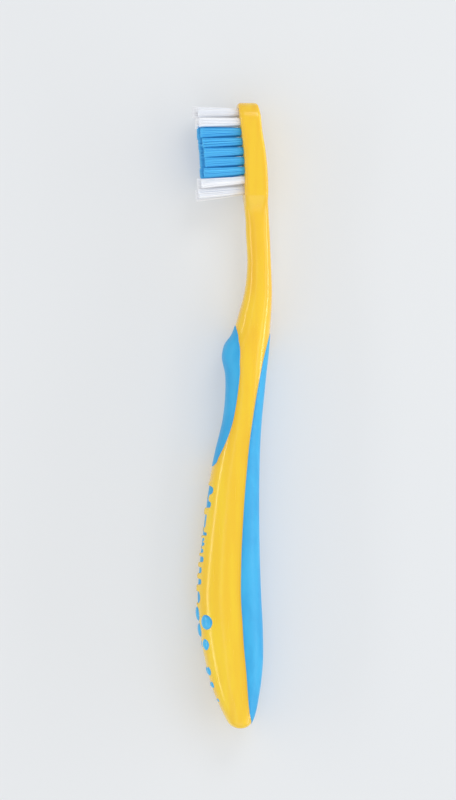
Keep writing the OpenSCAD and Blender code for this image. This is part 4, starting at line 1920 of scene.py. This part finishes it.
    def build(
        self, finishes: Mapping["BristleField.Tint", bpy.types.Material],
    ) -> list[bpy.types.Object]:
        """Builds every tuft.

        Args:
            finishes: The finish for each tint.

        Returns:
            The pieces, riding on the body.
        """
        pattern = self.pattern()
        pieces = []
        for row, count in enumerate(self.row_counts):
            tint = BristleField.Tint.WHITE if row in self.white_rows else BristleField.Tint.BLUE
            for column in range(count):
                piece = self.tuft(pattern, row, column, finishes[tint])
                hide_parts(f"tuft_{row + 1}_{column + 1}")
                pieces.append(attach(piece, BODY))
        return pieces


def stand(name: str, data: bpy.types.ID, place: Vector, axes: Sequence[Vector]) -> bpy.types.Object:
    """Puts a lamp or a camera in the scene.

    Args:
        name: Its name.
        data: The lamp or the camera.
        place: Where it stands, in metres.
        axes: The directions of its own X, Y and Z.

    Returns:
        The object.
    """
    item = bpy.data.objects.new(name, data)
    item.matrix_world = Matrix.Translation(place) @ Matrix(axes).transposed().to_4x4()
    bpy.context.scene.collection.objects.link(item)
    return item


@dataclass(frozen=True)
class SoftLamp:
    """A soft lamp that faces the brush: its place, its width and its length along the brush in
    metres, and its power in watts."""

    name: str
    place: tuple[float, float, float]
    size: tuple[float, float]
    power: float

    def hang(self) -> None:
        """Hangs the lamp in the scene."""
        data = bpy.data.lights.new(self.name, "AREA")
        data.shape = "RECTANGLE"
        data.size, data.size_y = self.size
        data.energy = self.power
        back = Vector(self.place).normalized()
        along = Vector((0.0, 1.0, 0.0))
        along = (along - back * along.dot(back)).normalized()
        stand(self.name, data, Vector(self.place), (along.cross(back), along, back))


@dataclass
class Studio:
    """The floor, the lamps and the camera."""

    target: Sequence[float] = (-1.02, 3.95, 7.02)
    distance: float = 1200.0
    tilt: float = 4.0
    view_height: float = 204.9
    sensor: float = 36.0
    floor_size: float = 4.0
    floor_gap: float = 0.02
    light: float = 0.64
    backdrop: Colour = (0.9, 0.91, 0.93, 1.0)
    lamps: Sequence[SoftLamp] = (
        SoftLamp("toe_softbox", (0.24, 0.55, 0.55), (0.36, 0.28), 1.0),
        SoftLamp("butt_softbox", (-0.1, -0.62, 0.5), (0.8, 0.6), 1.0),
        SoftLamp("back_strip", (0.46, 0.0, 0.4), (0.12, 0.8), 0.36),
        SoftLamp("rim_softbox", (0.6, 0.0, 0.14), (0.09, 0.9), 1.4),
        SoftLamp("front_strip", (-0.17, 0.0, 0.68), (0.06, 0.8), 0.16),
        SoftLamp("front_softbox", (-0.6, 0.0, 0.24), (0.08, 0.8), 0.8),
    )

    def floor(self) -> None:
        """Lays the pale floor under the brush."""
        half = self.floor_size / 2
        z = -self.floor_gap * MM
        corners = [(-half, -half, z), (half, -half, z), (half, half, z), (-half, half, z)]
        mesh = bpy.data.meshes.new("floor")
        mesh.from_pydata(corners, [], [[0, 1, 2, 3]])
        mesh.materials.append(PaleFloor("pale_floor").material())
        piece = bpy.data.objects.new("floor", mesh)
        bpy.context.scene.collection.objects.link(piece)

    def world(self) -> None:
        """Sets even light from all round, which a camera sees as a pale backdrop."""
        world = bpy.data.worlds.new("studio")
        bpy.context.scene.world = world
        world.use_nodes = True
        world.node_tree.nodes.clear()
        graph = Graph(world.node_tree)
        light = graph.node(
            "ShaderNodeBackground", {}, {"Color": WHITE_LIGHT, "Strength": self.light})
        shown = graph.node(
            "ShaderNodeBackground", {}, {"Color": self.backdrop, "Strength": 1.0})
        mixed = graph.node(
            "ShaderNodeMixShader", {}, {0: graph.straight_view(), 1: light, 2: shown})
        graph.add("ShaderNodeOutputWorld", {}, {"Surface": mixed})

    def camera(self) -> None:
        """Sets the camera straight over the brush, turned a little towards the bristles."""
        data = bpy.data.cameras.new("camera")
        data.sensor_fit = "VERTICAL"
        data.sensor_height = self.sensor
        data.lens = self.sensor * self.distance / self.view_height
        data.clip_start, data.clip_end = 0.05, 20.0
        turn = math.radians(self.tilt)
        right = Vector((math.cos(turn), 0.0, math.sin(turn)))
        up = Vector((0.0, 1.0, 0.0))
        back = Vector((-math.sin(turn), 0.0, math.cos(turn)))
        place = Vector(self.target) * MM + back * self.distance * MM
        bpy.context.scene.camera = stand("camera", data, place, (right, up, back))

    def build(self) -> None:
        """Sets up the whole studio."""
        self.floor()
        for lamp in self.lamps:
            lamp.hang()
        self.world()
        self.camera()
        bpy.context.scene.view_settings.view_transform = "Standard"


def report(pieces: Sequence[bpy.types.Object]) -> None:
    """Logs each piece with its faces."""
    for piece in pieces:
        LOG.info("%s: %d faces", piece.name, len(piece.data.polygons))


def main() -> None:
    """Builds the brush and its studio, and reports each piece."""
    logging.basicConfig(level=logging.INFO, format="%(name)s: %(message)s")
    # The plastic's darkest colour is painted shade by the pads, in the recess and round the
    # countersinks
    yellow = MouldedPlastic(
        "yellow_plastic", colour=linear(250, 211, 24), deep=linear(245, 192, 14),
        painted_shade=linear(206, 150, 14))
    # Each rubber's deep colour is also the painted shade along the rims
    rubber = SoftRubber("blue_rubber", colour=linear(58, 178, 232), deep=linear(38, 146, 212))
    dome_rubber = SoftRubber(
        "blue_bubble_rubber", colour=linear(56, 187, 242), deep=linear(30, 142, 212),
        roughness=0.2, coat=0.6)
    # Each nylon's root colour is painted shade towards the head, and its strands glow with painted
    # light
    white = Nylon(
        "white_nylon", colour=linear(250, 251, 253), deep=linear(226, 231, 240),
        root=linear(206, 196, 184))
    blue = Nylon(
        "blue_nylon", colour=linear(92, 200, 246), deep=linear(58, 168, 228),
        root=linear(22, 84, 150))
    wire = DrawnWire("anchor_wire", colour=(0.72, 0.68, 0.56, 1.0), deep=(0.6, 0.56, 0.45, 1.0))

    soft = rubber.material()
    line = BrushLine()
    thumb, back = ThumbPad(line), BackStrip(line)
    grip, bristles = FrontGrip(line), BristleField(line)
    moulding = HandleMoulding(line.crisp(), (thumb, back), grip, bristles)
    report([moulding.build(yellow.material())])
    report([part.build(soft) for part in (thumb, back, grip)])
    report(GripBubbles(line, grip).build(dome_rubber.material()))
    tints = {BristleField.Tint.WHITE: white.material(), BristleField.Tint.BLUE: blue.material()}
    report(bristles.build(tints))
    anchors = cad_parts["tuft_anchors"]
    anchors.data.materials.clear()
    anchors.data.materials.append(wire.material())
    report([anchors])
    Studio().build()
    LOG.info("studio: floor, lamps and camera")


if __name__ == "__main__":
    main()
